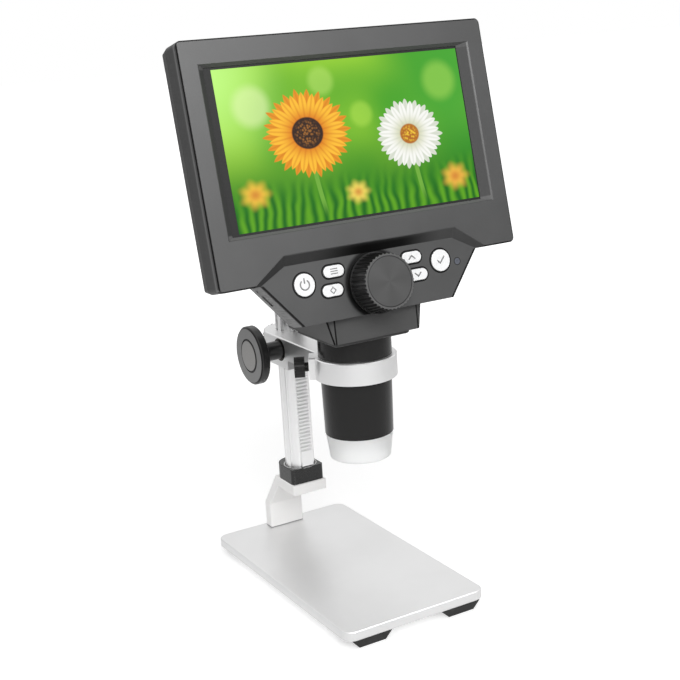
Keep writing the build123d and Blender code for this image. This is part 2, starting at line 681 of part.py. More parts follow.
def side_wall(side):
    """The slanted side of the control panel: x runs along it, y towards the front."""
    run = Vector(panel_top_half - panel_bottom_half, bezel_bottom - panel_bottom).normalized()
    down = head.x_dir * (-side * run.X) - head.y_dir * run.Y
    outward = head.x_dir * (side * run.Y) - head.y_dir * run.X
    corner = head.from_local_coords((side * panel_top_half, bezel_bottom, 0))
    return Plane(origin=corner, x_dir=down * -side, z_dir=outward)


left_wall, right_wall = side_wall(-1), side_wall(1)
main_board_posts = [
    (board_u + x_side * (board_width / 2 - post_inset), inner_v + y_side * (board_height / 2 - post_inset))
    for x_side in (-1, 1)
    for y_side in (-1, 1)
]
housing_screw_places = [
    (side * housing_screw_u, bezel_bottom + rise) for side in (-1, 1) for rise in housing_screw_rises
]
port_level = button_board_level - board_thickness - usb_height / 2

with BuildPart() as rear_shell:
    add(shell_form.part)
    with BuildSketch(head.offset(parting_level)):
        add(inner_outline)
    extrude(amount=side_level - parting_level, mode=Mode.SUBTRACT)
    with BuildSketch(head.offset(side_level)):
        add(inner_outline)
    extrude(amount=shell_floor - side_level, taper=draft_angle, mode=Mode.SUBTRACT)
    for place in corner_bosses:
        disc(on_head(*place, shell_floor), boss_radius, boss_level - shell_floor)
        disc(on_head(*place, back_level), small_screw_radius, boss_level - back_level,
             mode=Mode.SUBTRACT)
        disc(on_head(*place, back_level), small_head_radius, small_head_height, mode=Mode.SUBTRACT)
    for place in main_board_posts:
        disc(on_head(*place, shell_floor), post_radius, board_level - board_thickness - shell_floor)
    for place in housing_screw_places:
        disc(on_head(*place, back_level), small_screw_radius, wall, mode=Mode.SUBTRACT)
    disc(on_head(0, wheel_v, back_level), bush_radius, wall, mode=Mode.SUBTRACT)
    with BuildSketch(left_wall):
        with Locations((usb_along, port_level)):
            Rectangle(usb_width + 2 * port_margin, usb_height + 2 * port_margin)
        with Locations((reset_along, port_level)):
            Circle(reset_radius)
    extrude(amount=-2 * wall, mode=Mode.SUBTRACT)
    with BuildSketch(right_wall):
        with Locations((-card_along, port_level)):
            Rectangle(card_width + 2 * port_margin, card_height + 2 * port_margin)
    extrude(amount=-2 * wall, mode=Mode.SUBTRACT)
save(rear_shell, "rear_shell")

with BuildPart() as shell_screws:
    for place in corner_bosses:
        seat_level = back_level + small_head_height
        seat = Plane(origin=on_head(*place, seat_level).origin, x_dir=head.x_dir, z_dir=-head.z_dir)
        small_screw(seat, boss_level + pillar_hole_depth - seat_level)
save(shell_screws, "shell_screws")

# Screen: the panel in its metal tray, and the film on its lit area
with BuildPart() as lcd_module:
    with BuildSketch(head.offset(-module_thickness)):
        RectangleRounded(module_width, module_height, edge_break)
    extrude(amount=module_thickness)
save(lcd_module, "lcd_module")

with BuildPart() as display_film:
    with BuildSketch(head):
        Rectangle(screen_width, screen_height)
    extrude(amount=film_thickness)
save(display_film, "display_film")

# Boards and battery
with BuildPart() as main_board:
    with BuildSketch(on_head(board_u, inner_v, board_level)):
        Rectangle(board_width, board_height)
    extrude(amount=-board_thickness)
    with BuildSketch(on_head(board_u, inner_v, board_level)):
        Rectangle(chip_size, chip_size)
    extrude(amount=board_thickness)
save(main_board, "main_board")

with BuildPart() as battery:
    with BuildSketch(on_head(battery_u, inner_v, shell_floor)):
        RectangleRounded(battery_width, battery_height, battery_thickness / 2)
    extrude(amount=battery_thickness)
save(battery, "battery")

with BuildPart() as button_board:
    with BuildSketch(on_head(0, button_board_v, button_board_level)):
        Rectangle(button_board_width, button_board_height)
        with Locations((0, wheel_v - button_board_v)):
            Circle(focus_shaft_radius + shaft_hole_gap, mode=Mode.SUBTRACT)
    extrude(amount=-board_thickness)
save(button_board, "button_board")

with BuildPart() as button_switches:
    with BuildSketch(head.offset(button_board_level)):
        with Locations(*buttons.values()):
            Rectangle(switch_size, switch_size)
    extrude(amount=switch_height)
    with BuildSketch(head.offset(button_board_level + switch_height)):
        with Locations(*buttons.values()):
            Circle(plunger_radius)
    extrude(amount=plunger_height)
save(button_switches, "button_switches")

with BuildPart() as usb_port:
    with BuildSketch(left_wall.offset(-port_setback)):
        with Locations((usb_along, port_level)):
            RectangleRounded(usb_width, usb_height, 2 * usb_wall)
    extrude(amount=-usb_depth)
    with BuildSketch(left_wall.offset(-port_setback)):
        with Locations((usb_along, port_level)):
            Rectangle(usb_width - 2 * usb_wall, usb_height - 2 * usb_wall)
            Rectangle(usb_width - 6 * usb_wall, usb_wall, mode=Mode.SUBTRACT)
    extrude(amount=usb_wall - usb_depth, mode=Mode.SUBTRACT)
save(usb_port, "usb_port")

with BuildPart() as card_slot:
    with BuildSketch(right_wall.offset(-port_setback)):
        with Locations((-card_along, port_level)):
            Rectangle(card_width, card_height)
    extrude(amount=-card_depth)
    with BuildSketch(right_wall.offset(-port_setback)):
        with Locations((-card_along, port_level)):
            Rectangle(card_mouth_width, card_mouth_height)
    extrude(amount=-card_mouth_depth, mode=Mode.SUBTRACT)
save(card_slot, "card_slot")

with BuildPart() as indicator_lens:
    disc(on_head(*indicator_place, panel_back), indicator_radius, panel_thickness)
    disc(on_head(*indicator_place, panel_back), 2 * indicator_radius, -flange_thickness)
save(indicator_lens, "indicator_lens")

# Buttons: crowned caps with a flange that keeps them behind the panel
for name, place in buttons.items():
    with BuildPart() as button:
        with BuildSketch(head.offset(button_foot + flange_thickness)):
            button_outline(place, 0)
        extrude(amount=panel_level + button_proud - button_foot - flange_thickness)
        fillet(button.faces().sort_by(head_normal)[-1].edges(), radius=button_crown)
        with BuildSketch(head.offset(button_foot)):
            button_outline(place, flange_reach)
        extrude(amount=flange_thickness)
    save(button, name)

# Focus wheel: a ribbed cone with a thin flange, an inlaid cap and a long shaft
wheel_back = panel_level + moving_gap
cone_back = wheel_back + wheel_flange_thickness
cone_length = wheel_face_level - cone_back
cone_angle = degrees(atan((wheel_back_radius - wheel_front_radius) / cone_length))
cap_seat = wheel_face_level - wheel_cap_depth
wheel_section = Plane(origin=wheel_axis.origin, x_dir=head.x_dir, z_dir=-head.y_dir)
with BuildPart() as focus_wheel:
    with BuildSketch(wheel_section):
        section(
            (focus_shaft_radius, wheel_back), (wheel_flange_radius, wheel_back),
            (wheel_flange_radius, cone_back), (wheel_back_radius, cone_back),
            (wheel_front_radius, wheel_face_level - edge_break),
            (wheel_front_radius - edge_break, wheel_face_level),
            (wheel_cap_radius, wheel_face_level), (wheel_cap_radius, cap_seat),
            (0, cap_seat), (0, wheel_back + wheel_hub_depth),
            (focus_shaft_radius, wheel_back + wheel_hub_depth),
        )
    revolve(axis=Axis(wheel_axis.origin, wheel_axis.z_dir))
    with Locations(wheel_axis.offset(cone_back + cone_length / 2)):
        with PolarLocations((wheel_back_radius + wheel_front_radius) / 2, knurl_count):
            Cylinder(knurl_radius, cone_length, rotation=(0, -cone_angle, 0), mode=Mode.SUBTRACT)
save(focus_wheel, "focus_wheel")

with BuildPart() as wheel_cap:
    disc(wheel_axis.offset(cap_seat), wheel_cap_radius, wheel_cap_depth)
    chamfer(wheel_cap.faces().sort_by(head_normal)[-1].edges(), length=edge_break / 2)
save(wheel_cap, "wheel_cap")

with BuildPart() as focus_shaft:
    disc(wheel_axis.offset(gear_level - focus_gear_length), focus_shaft_radius,
         wheel_back + wheel_hub_depth - gear_level + focus_gear_length)
save(focus_shaft, "focus_shaft")

with BuildPart() as focus_gear:
    with BuildSketch(wheel_axis.offset(gear_level - focus_gear_length)):
        gear_outline(focus_gear_teeth)
        Circle(focus_shaft_radius, mode=Mode.SUBTRACT)
    extrude(amount=focus_gear_length)
save(focus_gear, "focus_gear")

with BuildPart() as panel_bush:
    with BuildSketch(wheel_axis.offset(panel_level)):
        Circle(bush_radius)
        Circle(focus_shaft_radius + running_clearance, mode=Mode.SUBTRACT)
    extrude(amount=-panel_bush_length)
save(panel_bush, "panel_bush")

with BuildPart() as rear_bush:
    disc(wheel_axis.offset(back_level), bush_radius, wall)
    disc(wheel_axis.offset(shell_floor), bush_flange_radius, bush_flange_thickness)
    disc(wheel_axis.offset(back_level), focus_shaft_radius + running_clearance,
         wall + bush_flange_thickness, mode=Mode.SUBTRACT)
save(rear_bush, "rear_bush")

# Housing: a leaning box that carries the tube and rises behind the shell over the focus gear
housing_front, housing_back = tube_y - housing_front_reach, tube_y + housing_back_reach
throat = across(bezel_bottom + throat_rise, throat_level)
roof_start = across(bezel_bottom + roof_rise, back_level)
roof_back = (housing_back, housing_bottom + housing_back_height)
roof_slope = (roof_start[1] - roof_back[1]) / (roof_start[0] - roof_back[0])
roof_inner = (roof_start[0] - roof_run, roof_start[1] - roof_slope * roof_run)


def housing_form(inset):
    """The housing's filled form: a side view cut to the leaning walls of its front view."""
    with BuildPart() as form:
        with BuildSketch(Plane.YZ) as side_view:
            section(
                (housing_front, housing_bottom), throat, roof_inner, roof_back,
                (housing_back, housing_bottom),
            )
            offset(amount=-inset, kind=Kind.INTERSECTION)
        extrude(side_view.sketch, amount=housing_top_half, both=True)
        with BuildSketch(Plane.XZ.offset(-housing_back)) as front_view:
            section(
                (-housing_bottom_half, housing_bottom),
                (-housing_top_half, housing_bottom + housing_lean_height),
                (-housing_top_half, roof_inner[1]),
                (housing_top_half, roof_inner[1]),
                (housing_top_half, housing_bottom + housing_lean_height),
                (housing_bottom_half, housing_bottom),
            )
            offset(amount=-inset, kind=Kind.INTERSECTION)
        extrude(front_view.sketch, amount=housing_back - housing_front, mode=Mode.INTERSECT)
    return form.part


def corner_facet(side):
    """The plane of the narrow facet on one front corner: it widens from the foot to the lean's top."""
    lean_top = housing_bottom + housing_lean_height
    rise = (throat[0] - housing_front) / (throat[1] - housing_bottom) * housing_lean_height
    foot = Vector(side * (housing_bottom_half - facet_foot), housing_front, housing_bottom)
    top = Vector(side * (housing_top_half - facet_top), housing_front + rise, lean_top)
    behind = Vector(side * housing_top_half, housing_front + rise + facet_side, lean_top)
    return Plane(origin=behind, x_dir=foot - top, z_dir=(top - foot).cross(behind - foot) * side)


housing_outer = housing_form(0)
housing_inner = housing_form(wall)
cover_back = housing_back - cover_inset
cover_front = housing_front + cover_front_inset
cover_half = housing_bottom_half - cover_inset
cover_screw_places = [
    (x_side * (cover_half - cover_screw_inset), y)
    for x_side in (-1, 1)
    for y in (cover_front + cover_screw_inset, cover_back - cover_screw_inset)
]
with BuildPart() as tube_housing:
    add(housing_outer)
    add(housing_inner, mode=Mode.SUBTRACT)
    for side in (-1, 1):
        facet = corner_facet(side)
        split(bisect_by=facet, keep=Keep.TOP)
        leaning = Vector(side * housing_lean_height, 0, housing_bottom_half - housing_top_half)
        with BuildSketch(Plane(origin=facet.origin, x_dir=facet.z_dir.cross(leaning), z_dir=leaning)):
            Rectangle(2 * seam_length, seam_width)
        extrude(amount=-seam_depth, mode=Mode.SUBTRACT)
    for place in cover_screw_places:
        disc(Plane(origin=(*place, housing_bottom)), boss_radius, wall + cover_boss_height)
        disc(Plane(origin=(*place, housing_bottom)), small_screw_radius, cover_screw_depth,
             mode=Mode.SUBTRACT)
    for place in housing_screw_places:
        disc(on_head(*place, back_level), boss_radius, -housing_boss_depth)
        disc(on_head(*place, back_level), small_screw_radius, -housing_screw_depth,
             mode=Mode.SUBTRACT)
    add(shell_form.part, mode=Mode.SUBTRACT)
    disc(Plane(origin=(0, tube_y, housing_bottom)), tube_flange_radius, wall, mode=Mode.SUBTRACT)
save(tube_housing, "tube_housing")

with BuildPart() as housing_screws:
    for place in housing_screw_places:
        small_screw(on_head(*place, shell_floor), wall + housing_screw_depth)
save(housing_screws, "housing_screws")

# Cover under the housing: it clamps the tube's flange
with BuildPart() as housing_cover:
    with BuildSketch(Plane(origin=(0, (cover_front + cover_back) / 2, housing_bottom))):
        RectangleRounded(2 * cover_half, cover_back - cover_front, cover_corner)
    extrude(amount=-cover_thickness)
    chamfer(housing_cover.faces().sort_by(Axis.Z)[0].edges(), length=edge_break)
    disc(Plane(origin=(0, tube_y, housing_bottom)), tube_radius, -cover_thickness, mode=Mode.SUBTRACT)
    for place in cover_screw_places:
        disc(Plane(origin=(*place, housing_bottom)), small_screw_radius, -cover_thickness,
             mode=Mode.SUBTRACT)
        disc(Plane(origin=(*place, housing_bottom - cover_thickness)), small_head_radius,
             small_head_height, mode=Mode.SUBTRACT)
save(housing_cover, "housing_cover")

with BuildPart() as cover_screws:
    for place in cover_screw_places:
        seat_height = housing_bottom - cover_thickness + small_head_height
        seat = Plane(origin=(*place, seat_height), z_dir=(0, 0, -1))
        small_screw(seat, housing_bottom + cover_screw_depth - seat_height)
save(cover_screws, "cover_screws")

# Tube in two turned lengths: the upper one turns in the ring, the lower one plugs into it
with BuildPart() as upper_tube:
    with BuildSketch(tube_section):
        section(
            (tube_bore + socket_wall, tube_joint), (tube_radius, tube_joint),
            (tube_radius, housing_bottom), (tube_flange_radius, housing_bottom),
            (tube_flange_radius, housing_bottom + wall), (tube_radius, housing_bottom + wall),
            (tube_radius, tube_top), (tube_bore, tube_top),
            (tube_bore, tube_joint + socket_depth), (tube_bore + socket_wall, tube_joint + socket_depth),
        )
    revolve(axis=tube_axis)
save(upper_tube, "upper_tube")

with BuildPart() as lower_tube:
    with BuildSketch(tube_section):
        section(
            (tube_bore, tube_bottom), (tube_end_radius, tube_bottom),
            (tube_foot_radius, tube_joint), (tube_bore + socket_wall, tube_joint),
            (tube_bore + socket_wall, tube_joint + socket_depth), (tube_bore, tube_joint + socket_depth),
        )
    revolve(axis=tube_axis)
save(lower_tube, "lower_tube")

# Ring light: a board over the frosted shroud's spigot, with its lamps facing down
spigot_radius = tube_bore - spigot_gap
with BuildPart() as light_shroud:
    with BuildSketch(tube_section):
        section(
            (shroud_bottom_radius - shroud_wall, tube_bottom - shroud_length),
            (shroud_bottom_radius, tube_bottom - shroud_length),
            (shroud_top_radius, tube_bottom),
            (spigot_radius, tube_bottom),
            (spigot_radius, tube_bottom + spigot_height),
            (spigot_radius - shroud_wall, tube_bottom + spigot_height),
            (spigot_radius - shroud_wall, tube_bottom),
        )
    revolve(axis=tube_axis)
save(light_shroud, "light_shroud")

light_plane = Plane(origin=(0, tube_y, light_board_bottom))
with BuildPart() as light_board:
    with BuildSketch(light_plane):
        Circle(spigot_radius)
        Circle(light_board_bore, mode=Mode.SUBTRACT)
    extrude(amount=light_board_thickness)
    with BuildSketch(light_plane):
        with PolarLocations(light_circle, light_count):
            Rectangle(light_size, light_size)
    extrude(amount=-light_height)
save(light_board, "light_board")

# Camera board on the tube's top, notched for the focus rack
focus_rack_x = focus_gear_radius - addendum
focus_rack_front = back_level - focus_rack_gap
focus_rack_back = focus_rack_front - focus_rack_width
bar_foot_front = across(wheel_v - focus_rack_below, focus_rack_front)
bar_foot_back = across(wheel_v - focus_rack_below, focus_rack_back)
notch_corner = (focus_rack_x - notch_gap, bar_foot_back[0] + notch_gap - tube_y)
camera_plane = Plane(origin=(0, tube_y, tube_top))
with BuildPart() as sensor_board:
    with BuildSketch(camera_plane):
        Rectangle(sensor_board_size, sensor_board_size)
        with Locations(notch_corner):
            Rectangle(
                sensor_board_size, sensor_board_size, align=(Align.MIN, Align.MAX), mode=Mode.SUBTRACT
            )
    extrude(amount=sensor_board_thickness)
    with BuildSketch(camera_plane):
        Rectangle(sensor_size, sensor_size)
    extrude(amount=-sensor_height)
save(sensor_board, "sensor_board")

# Lens carrier: a sleeve that slides in the tube, with a cranked rack that reaches the focus gear
with BuildPart() as lens_carrier:
    with BuildSketch(Plane(origin=(0, tube_y, carrier_bottom))):
        Circle(tube_bore - sliding_clearance)
        Circle(barrel_radius, mode=Mode.SUBTRACT)
    extrude(amount=carrier_length)
    with BuildSketch(Plane.YZ.offset(focus_rack_x)):
        section(
            (bar_foot_front[0], carrier_top),
            bar_foot_front,
            across(wheel_v + focus_rack_above, focus_rack_front),
            across(wheel_v + focus_rack_above, focus_rack_back),
            bar_foot_back,
            (bar_foot_back[0], carrier_top),
        )
    extrude(amount=focus_rack_thickness)
    with BuildSketch(on_head(focus_rack_x, wheel_v, focus_rack_front)):
        rack_gaps(-focus_rack_below, focus_rack_above)
    extrude(amount=focus_rack_width, both=True, mode=Mode.SUBTRACT)
save(lens_carrier, "lens_carrier")

with BuildPart() as lens_barrel:
    with BuildSketch(Plane(origin=(0, tube_y, carrier_top))):
        Circle(barrel_radius)
        Circle(barrel_bore, mode=Mode.SUBTRACT)
    extrude(amount=-barrel_length)
save(lens_barrel, "lens_barrel")

with BuildPart() as objective_lens:
    disc(Plane(origin=(0, tube_y, carrier_top - barrel_length + lens_setback)), barrel_bore,
         lens_thickness)
    chamfer(objective_lens.edges(), length=edge_break)
save(objective_lens, "objective_lens")
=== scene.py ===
"""Digital microscope with a seven-inch screen on a rack-and-pinion stand: its looks.

Metres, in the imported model's frame: +X is the viewer's right, the screen faces -Y, +Z is up.
"""

from math import atan2, cos, pi, radians, sin

import bmesh
import bpy
from mathutils import Matrix, Vector


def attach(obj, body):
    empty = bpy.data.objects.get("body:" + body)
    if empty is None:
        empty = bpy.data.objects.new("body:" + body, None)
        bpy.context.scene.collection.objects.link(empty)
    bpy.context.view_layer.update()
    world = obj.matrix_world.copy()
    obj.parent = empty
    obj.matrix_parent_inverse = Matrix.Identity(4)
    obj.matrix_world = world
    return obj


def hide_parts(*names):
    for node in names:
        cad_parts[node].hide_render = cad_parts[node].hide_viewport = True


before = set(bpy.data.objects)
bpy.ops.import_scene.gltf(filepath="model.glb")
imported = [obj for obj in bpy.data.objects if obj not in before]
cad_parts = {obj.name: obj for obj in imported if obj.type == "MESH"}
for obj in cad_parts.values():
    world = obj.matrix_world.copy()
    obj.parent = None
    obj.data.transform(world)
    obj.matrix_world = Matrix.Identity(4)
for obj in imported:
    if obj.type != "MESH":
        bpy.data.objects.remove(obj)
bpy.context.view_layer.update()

# ---------------------------------------------------------------- table, light and camera
# A white table in a white tent, lit by the tent and by two large soft lamps, of which one only adds
# a sheen to what it faces. The camera stands on the viewer's left, a little above the object.


class Value:
    """A shader node's result. An expression on values adds the Math nodes that work it out.

    Of two values, & is the lesser and | the greater.
    """

    def __init__(self, nodes, socket):
        self.nodes, self.socket = nodes, socket

    def maths(self, operation, *terms):
        return self.nodes.add("ShaderNodeMath", {"operation": operation}, dict(enumerate(terms)))

    def __add__(self, other):
        return self.maths("ADD", self, other)

    def __sub__(self, other):
        return self.maths("SUBTRACT", self, other)

    def __rsub__(self, other):
        return self.maths("SUBTRACT", other, self)

    def __mul__(self, other):
        return self.maths("MULTIPLY", self, other)

    def __truediv__(self, other):
        return self.maths("DIVIDE", self, other)

    def __pow__(self, other):
        return self.maths("POWER", self, other)

    def __lt__(self, other):
        return self.maths("LESS_THAN", self, other)

    def __gt__(self, other):
        return self.maths("GREATER_THAN", self, other)

    def __abs__(self):
        return self.maths("ABSOLUTE", self)

    def __and__(self, other):
        return self.maths("MINIMUM", self, other)

    def __or__(self, other):
        return self.maths("MAXIMUM", self, other)

    __radd__, __rmul__ = __add__, __mul__

    def between(self, start, end):
        """0 before start and 1 after end, with a smooth rise."""
        return self.nodes.add(
            "ShaderNodeMapRange", {"interpolation_type": "SMOOTHSTEP"},
            {"Value": self, "From Min": start, "From Max": end},
        )


class Nodes:
    """The nodes of a material, of the tent or of a lamp."""

    def __init__(self, tree):
        self.tree = tree

    def add(self, kind, settings={}, sockets={}, out=0):
        """One node: its type, its settings, the values or links of its sockets, and its result."""
        node = self.tree.nodes.new(kind)
        for name, value in settings.items():
            setattr(node, name, value)
        for name, value in sockets.items():
            self.feed(node.inputs[name], value)
        return Value(self, node.outputs[out])

    def feed(self, socket, value):
        if isinstance(value, Value):
            self.tree.links.new(value.socket, socket)
        elif socket.type == "RGBA":
            socket.default_value = (*value, 1)
        else:
            socket.default_value = value


def looks(nodes):
    """Two masks: where the camera looks straight or through glass, and where a shiny surface looks."""
    rays = [nodes.add("ShaderNodeLightPath", out=f"Is {kind} Ray")
            for kind in ("Camera", "Transmission", "Glossy")]
    return rays[0] | rays[1], rays[2]


tent_light, tent_low, tent_high = 0.60, 0.40, 1.05
tent_world = bpy.data.worlds.new("white_tent")
tent_world.use_nodes = True
tent = Nodes(tent_world.node_tree)
tent_shader = tent_world.node_tree.nodes["Background"]
tent_seen, tent_mirrored = looks(tent)
skyward = tent.add("ShaderNodeVectorMath", {"operation": "DOT_PRODUCT"}, {
    0: tent.add("ShaderNodeTexCoord", out="Generated"), 1: (0, 0, 1)}, out="Value")
tent_gleam = tent_mirrored * (skyward.between(0.05, 0.42) * (tent_high - tent_low) + tent_low)
tent.feed(tent_shader.inputs["Color"], (1, 1, 1))
tent.feed(tent_shader.inputs["Strength"], tent_seen | tent_gleam | (1 - tent_mirrored) * tent_light)
bpy.context.scene.world = tent_world
bpy.context.scene.view_settings.view_transform = "Standard"

table_form = bmesh.new()
bmesh.ops.create_grid(table_form, x_segments=1, y_segments=1, size=6)
table_mesh = bpy.data.meshes.new("table")
table_form.to_mesh(table_mesh)
table_form.free()
table_material = bpy.data.materials.new("white_table")
table_material.use_nodes = True
table = Nodes(table_material.node_tree)
table_shader = table_material.node_tree.nodes["Principled BSDF"]
table_glow, table_far_glow, table_gleam, table_tone = 0.58, 0.85, 0.44, (0.62, 0.62, 0.62)
shadow_radius, far_radius = 0.15, 0.9
table_seen, table_mirrored = looks(table)
from_object = table.add("ShaderNodeVectorMath", {"operation": "LENGTH"},
                        {0: table.add("ShaderNodeTexCoord", out="Object")}, out="Value")
away = from_object.between(shadow_radius, far_radius)
seen_glow = away * (table_far_glow - table_glow) + table_glow
glow = table_seen * seen_glow + table_mirrored * (1 - away) * table_gleam
for socket, value in {"Base Color": table_tone, "Roughness": 1, "Specular IOR Level": 0,
                      "Emission Color": (1, 1, 1), "Emission Strength": glow}.items():
    table.feed(table_shader.inputs[socket], value)
table_mesh.materials.append(table_material)
table_top = bpy.data.objects.new("table", table_mesh)
bpy.context.scene.collection.objects.link(table_top)

lamp_aim, first_bounce = Vector((0, 0, 0.2)), 1.5
for name, place, size, power, lights_all in (
    ("lamp_left", (-0.6, -1.5, 1.3), 1.0, 20.0, True),
    ("lamp_sheen", (0.18, -1.33, 1.10), 0.5, 25.0, False),
):
    lamp = bpy.data.lights.new(name, "AREA")
    lamp.shape, lamp.size, lamp.energy = "DISK", size, power
    lamp_stand = bpy.data.objects.new(name, lamp)
    lamp_stand.location = place
    lamp_stand.rotation_euler = (lamp_aim - Vector(place)).to_track_quat("-Z", "Y").to_euler()
    lamp_stand.visible_diffuse = lights_all
    lamp.use_nodes = True
    lamp_nodes, lamp_shader = Nodes(lamp.node_tree), lamp.node_tree.nodes["Emission"]
    bounces = lamp_nodes.add("ShaderNodeLightPath", out="Ray Depth")
    lamp_nodes.feed(lamp_shader.inputs["Strength"], (bounces < first_bounce) | float(lights_all))
    bpy.context.scene.collection.objects.link(lamp_stand)

camera_place, camera_lens = Vector((-0.35966, -0.65324, 0.3546)), 68.225
azimuth, elevation, roll = radians(-29.337), radians(15.016), radians(-3.533)
backward = Vector((sin(azimuth) * cos(elevation), -cos(azimuth) * cos(elevation), sin(elevation)))
level = Vector((cos(azimuth), sin(azimuth), 0))
upright = backward.cross(level)
camera_turn = Matrix((
    cos(roll) * level + sin(roll) * upright, cos(roll) * upright - sin(roll) * level, backward
)).transposed().to_4x4()
camera = bpy.data.cameras.new("camera")
camera.lens, camera.sensor_width = camera_lens, 36
camera_stand = bpy.data.objects.new("camera", camera)
camera_stand.matrix_world = Matrix.Translation(camera_place) @ camera_turn
bpy.context.scene.collection.objects.link(camera_stand)
bpy.context.scene.camera = camera_stand

# ---------------------------------------------------------------- base plate and feet
# The plate is sawn from 6 mm aluminium, milled round its edge, bead-blasted and clear anodised.
# Four moulded rubber feet are glued under its corners.


class Finish(Nodes):
    """What a surface is made of and how it is finished: one material with one main shader."""

    def __init__(self, name, sockets={}):
        self.material = bpy.data.materials.new(name)
        self.material.use_nodes = True
        super().__init__(self.material.node_tree)
        self.shader = self.tree.nodes["Principled BSDF"]
        self.place = self.add("ShaderNodeTexCoord", out="Object")
        self.set(sockets)

    def set(self, sockets):
        for name, value in sockets.items():
            self.feed(self.shader.inputs[name], value)

    def noise(self, scale, detail=2.0, stretch=(1, 1, 1)):
        """A cloud of 0 to 1, with scale lumps to the metre, drawn out where stretch is low."""
        place = self.add("ShaderNodeVectorMath", {"operation": "MULTIPLY"}, {0: self.place, 1: stretch})
        return self.add("ShaderNodeTexNoise", {}, {"Vector": place, "Scale": scale, "Detail": detail})

    def cells(self, scale):
        """The distance to the nearest of scale points to the metre."""
        return self.add("ShaderNodeTexVoronoi", {}, {"Vector": self.place, "Scale": scale})

    def along(self, axis, start=0.0):
        """The distance along an axis, in millimetres, from start."""
        metres = self.add("ShaderNodeVectorMath", {"operation": "DOT_PRODUCT"},
                          {0: self.place, 1: axis}, out="Value")
        return metres * 1000 - start

    def blend(self, amount, first, second):
        """The first colour where amount is 0 and the second where it is 1."""
        return self.add("ShaderNodeMix", {"data_type": "RGBA"}, {0: amount, 6: first, 7: second}, out=2)

    def relief(self, height, depth):
        """Raises the surface by depth metres where height is 1."""
        self.set({"Normal": self.add("ShaderNodeBump", {}, {"Height": height, "Distance": depth})})


def grey(tone, warmth=0.0):
    return (tone * (1 + warmth), tone, tone * (1 - warmth))


def anodised(name, tone, roughness):
    """Bead-blasted, anodised aluminium: a fine even grain, a faint cloud and a few finger marks."""
    finish = Finish(name, {"Metallic": 0.88})
    beads, cloud, marks = finish.noise(2200, 3), finish.noise(18, 3), finish.noise(60, 4)
    finish.set({
        "Base Color": finish.blend(cloud.between(0.3, 0.7), grey(tone * 0.975), grey(tone * 1.02)),
        "Roughness": roughness + beads * 0.08 + marks.between(0.5, 0.8) * 0.05,
    })
    finish.relief(beads, 0.000012)
    return finish


def rubber(name, tone):
    """Moulded rubber: matt, slightly dusty, with a fine pitted skin."""
    finish = Finish(name, {"Specular IOR Level": 0.35})
    dust, pits = finish.noise(150, 4), finish.noise(1800, 2)
    finish.set({
        "Base Color": finish.blend(dust.between(0.45, 0.8), grey(tone), grey(tone * 1.8)),
        "Roughness": 0.62 + pits * 0.2,
    })
    finish.relief(pits, 0.00003)
    return finish


def dress(finish, *nodes):
    """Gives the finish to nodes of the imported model."""
    for node in nodes:
        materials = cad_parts[node].data.materials
        materials.clear()
        materials.append(finish.material)


dress(anodised("plate_anodised", 0.78, 0.36), "base_plate")
dress(rubber("foot_rubber", 0.022), *(
    f"foot_{end}_{side}" for end in ("front", "back") for side in ("left", "right")))

# ---------------------------------------------------------------- bracket
# The cranked bracket is cut from a thick aluminium extrusion, blasted and anodised. Two screws hold
# it to the plate from below, and one holds the column on its shelf.


def plated(name, tone, roughness=0.3):
    """Zinc-plated steel: bright, a little cloudy, with fine rolled lines."""
    finish = Finish(name, {"Metallic": 1.0})
    cloud, lines = finish.noise(300, 3), finish.noise(900, 2, (1, 1, 0.05))
    finish.set({
        "Base Color": finish.blend(cloud, grey(tone * 0.85), grey(tone * 1.1, 0.02)),
        "Roughness": roughness + lines * 0.15,
    })
    finish.relief(lines, 0.000008)
    return finish


plate_top = 11.3
bracket_finish = Finish("bracket_anodised", {"Metallic": 0.28})
bracket_beads, bracket_cloud = bracket_finish.noise(2200, 3), bracket_finish.noise(18, 3)
# A thin dark band at the leg's foot, just above the plate, is a painted contact shadow.
painted_foot_shadow = bracket_finish.along((0, 0, 1), plate_top).between(0.7, 0.3)
bracket_tone = bracket_finish.blend(bracket_cloud.between(0.3, 0.7), grey(0.88, 0.008), grey(0.92, 0.008))
bracket_finish.set({
    "Base Color": bracket_finish.blend(painted_foot_shadow, bracket_tone, grey(0.22)),
    "Roughness": 0.38 + bracket_beads * 0.1,
})
bracket_finish.relief(bracket_beads, 0.000012)
dress(bracket_finish, "column_bracket")
screw_finish = plated("screw_zinc", 0.5)
dress(screw_finish, "bracket_screws", "column_screw")

# ---------------------------------------------------------------- column, rack, cap and collar
# The column is a fluted aluminium extrusion, drawn lengthwise and anodised. A milled steel rack is
# pressed into its slot. The cap and the collar at the ends are black plastic mouldings.


def moulded(name, tone, roughness, gloss=0.5):
    """An injection moulding with a fine spark-eroded skin, and a slight cloud in its colour."""
    finish = Finish(name, {"Specular IOR Level": gloss})
    skin, cloud = finish.noise(1500, 2), finish.noise(35, 2)
    finish.set({
        "Base Color": finish.blend(cloud.between(0.3, 0.7), grey(tone * 0.93), grey(tone * 1.08)),
        "Roughness": roughness + skin * 0.12,
    })
    finish.relief(skin, 0.00002)
    return finish


column_finish = Finish("column_drawn", {"Metallic": 0.88})
draw_lines = column_finish.noise(1400, 2, (1, 1, 0.01))
column_finish.set({
    "Base Color": column_finish.blend(draw_lines, grey(0.86), grey(0.96)),
    "Roughness": 0.30 + draw_lines * 0.14,
})
column_finish.relief(draw_lines, 0.00001)
dress(column_finish, "column")

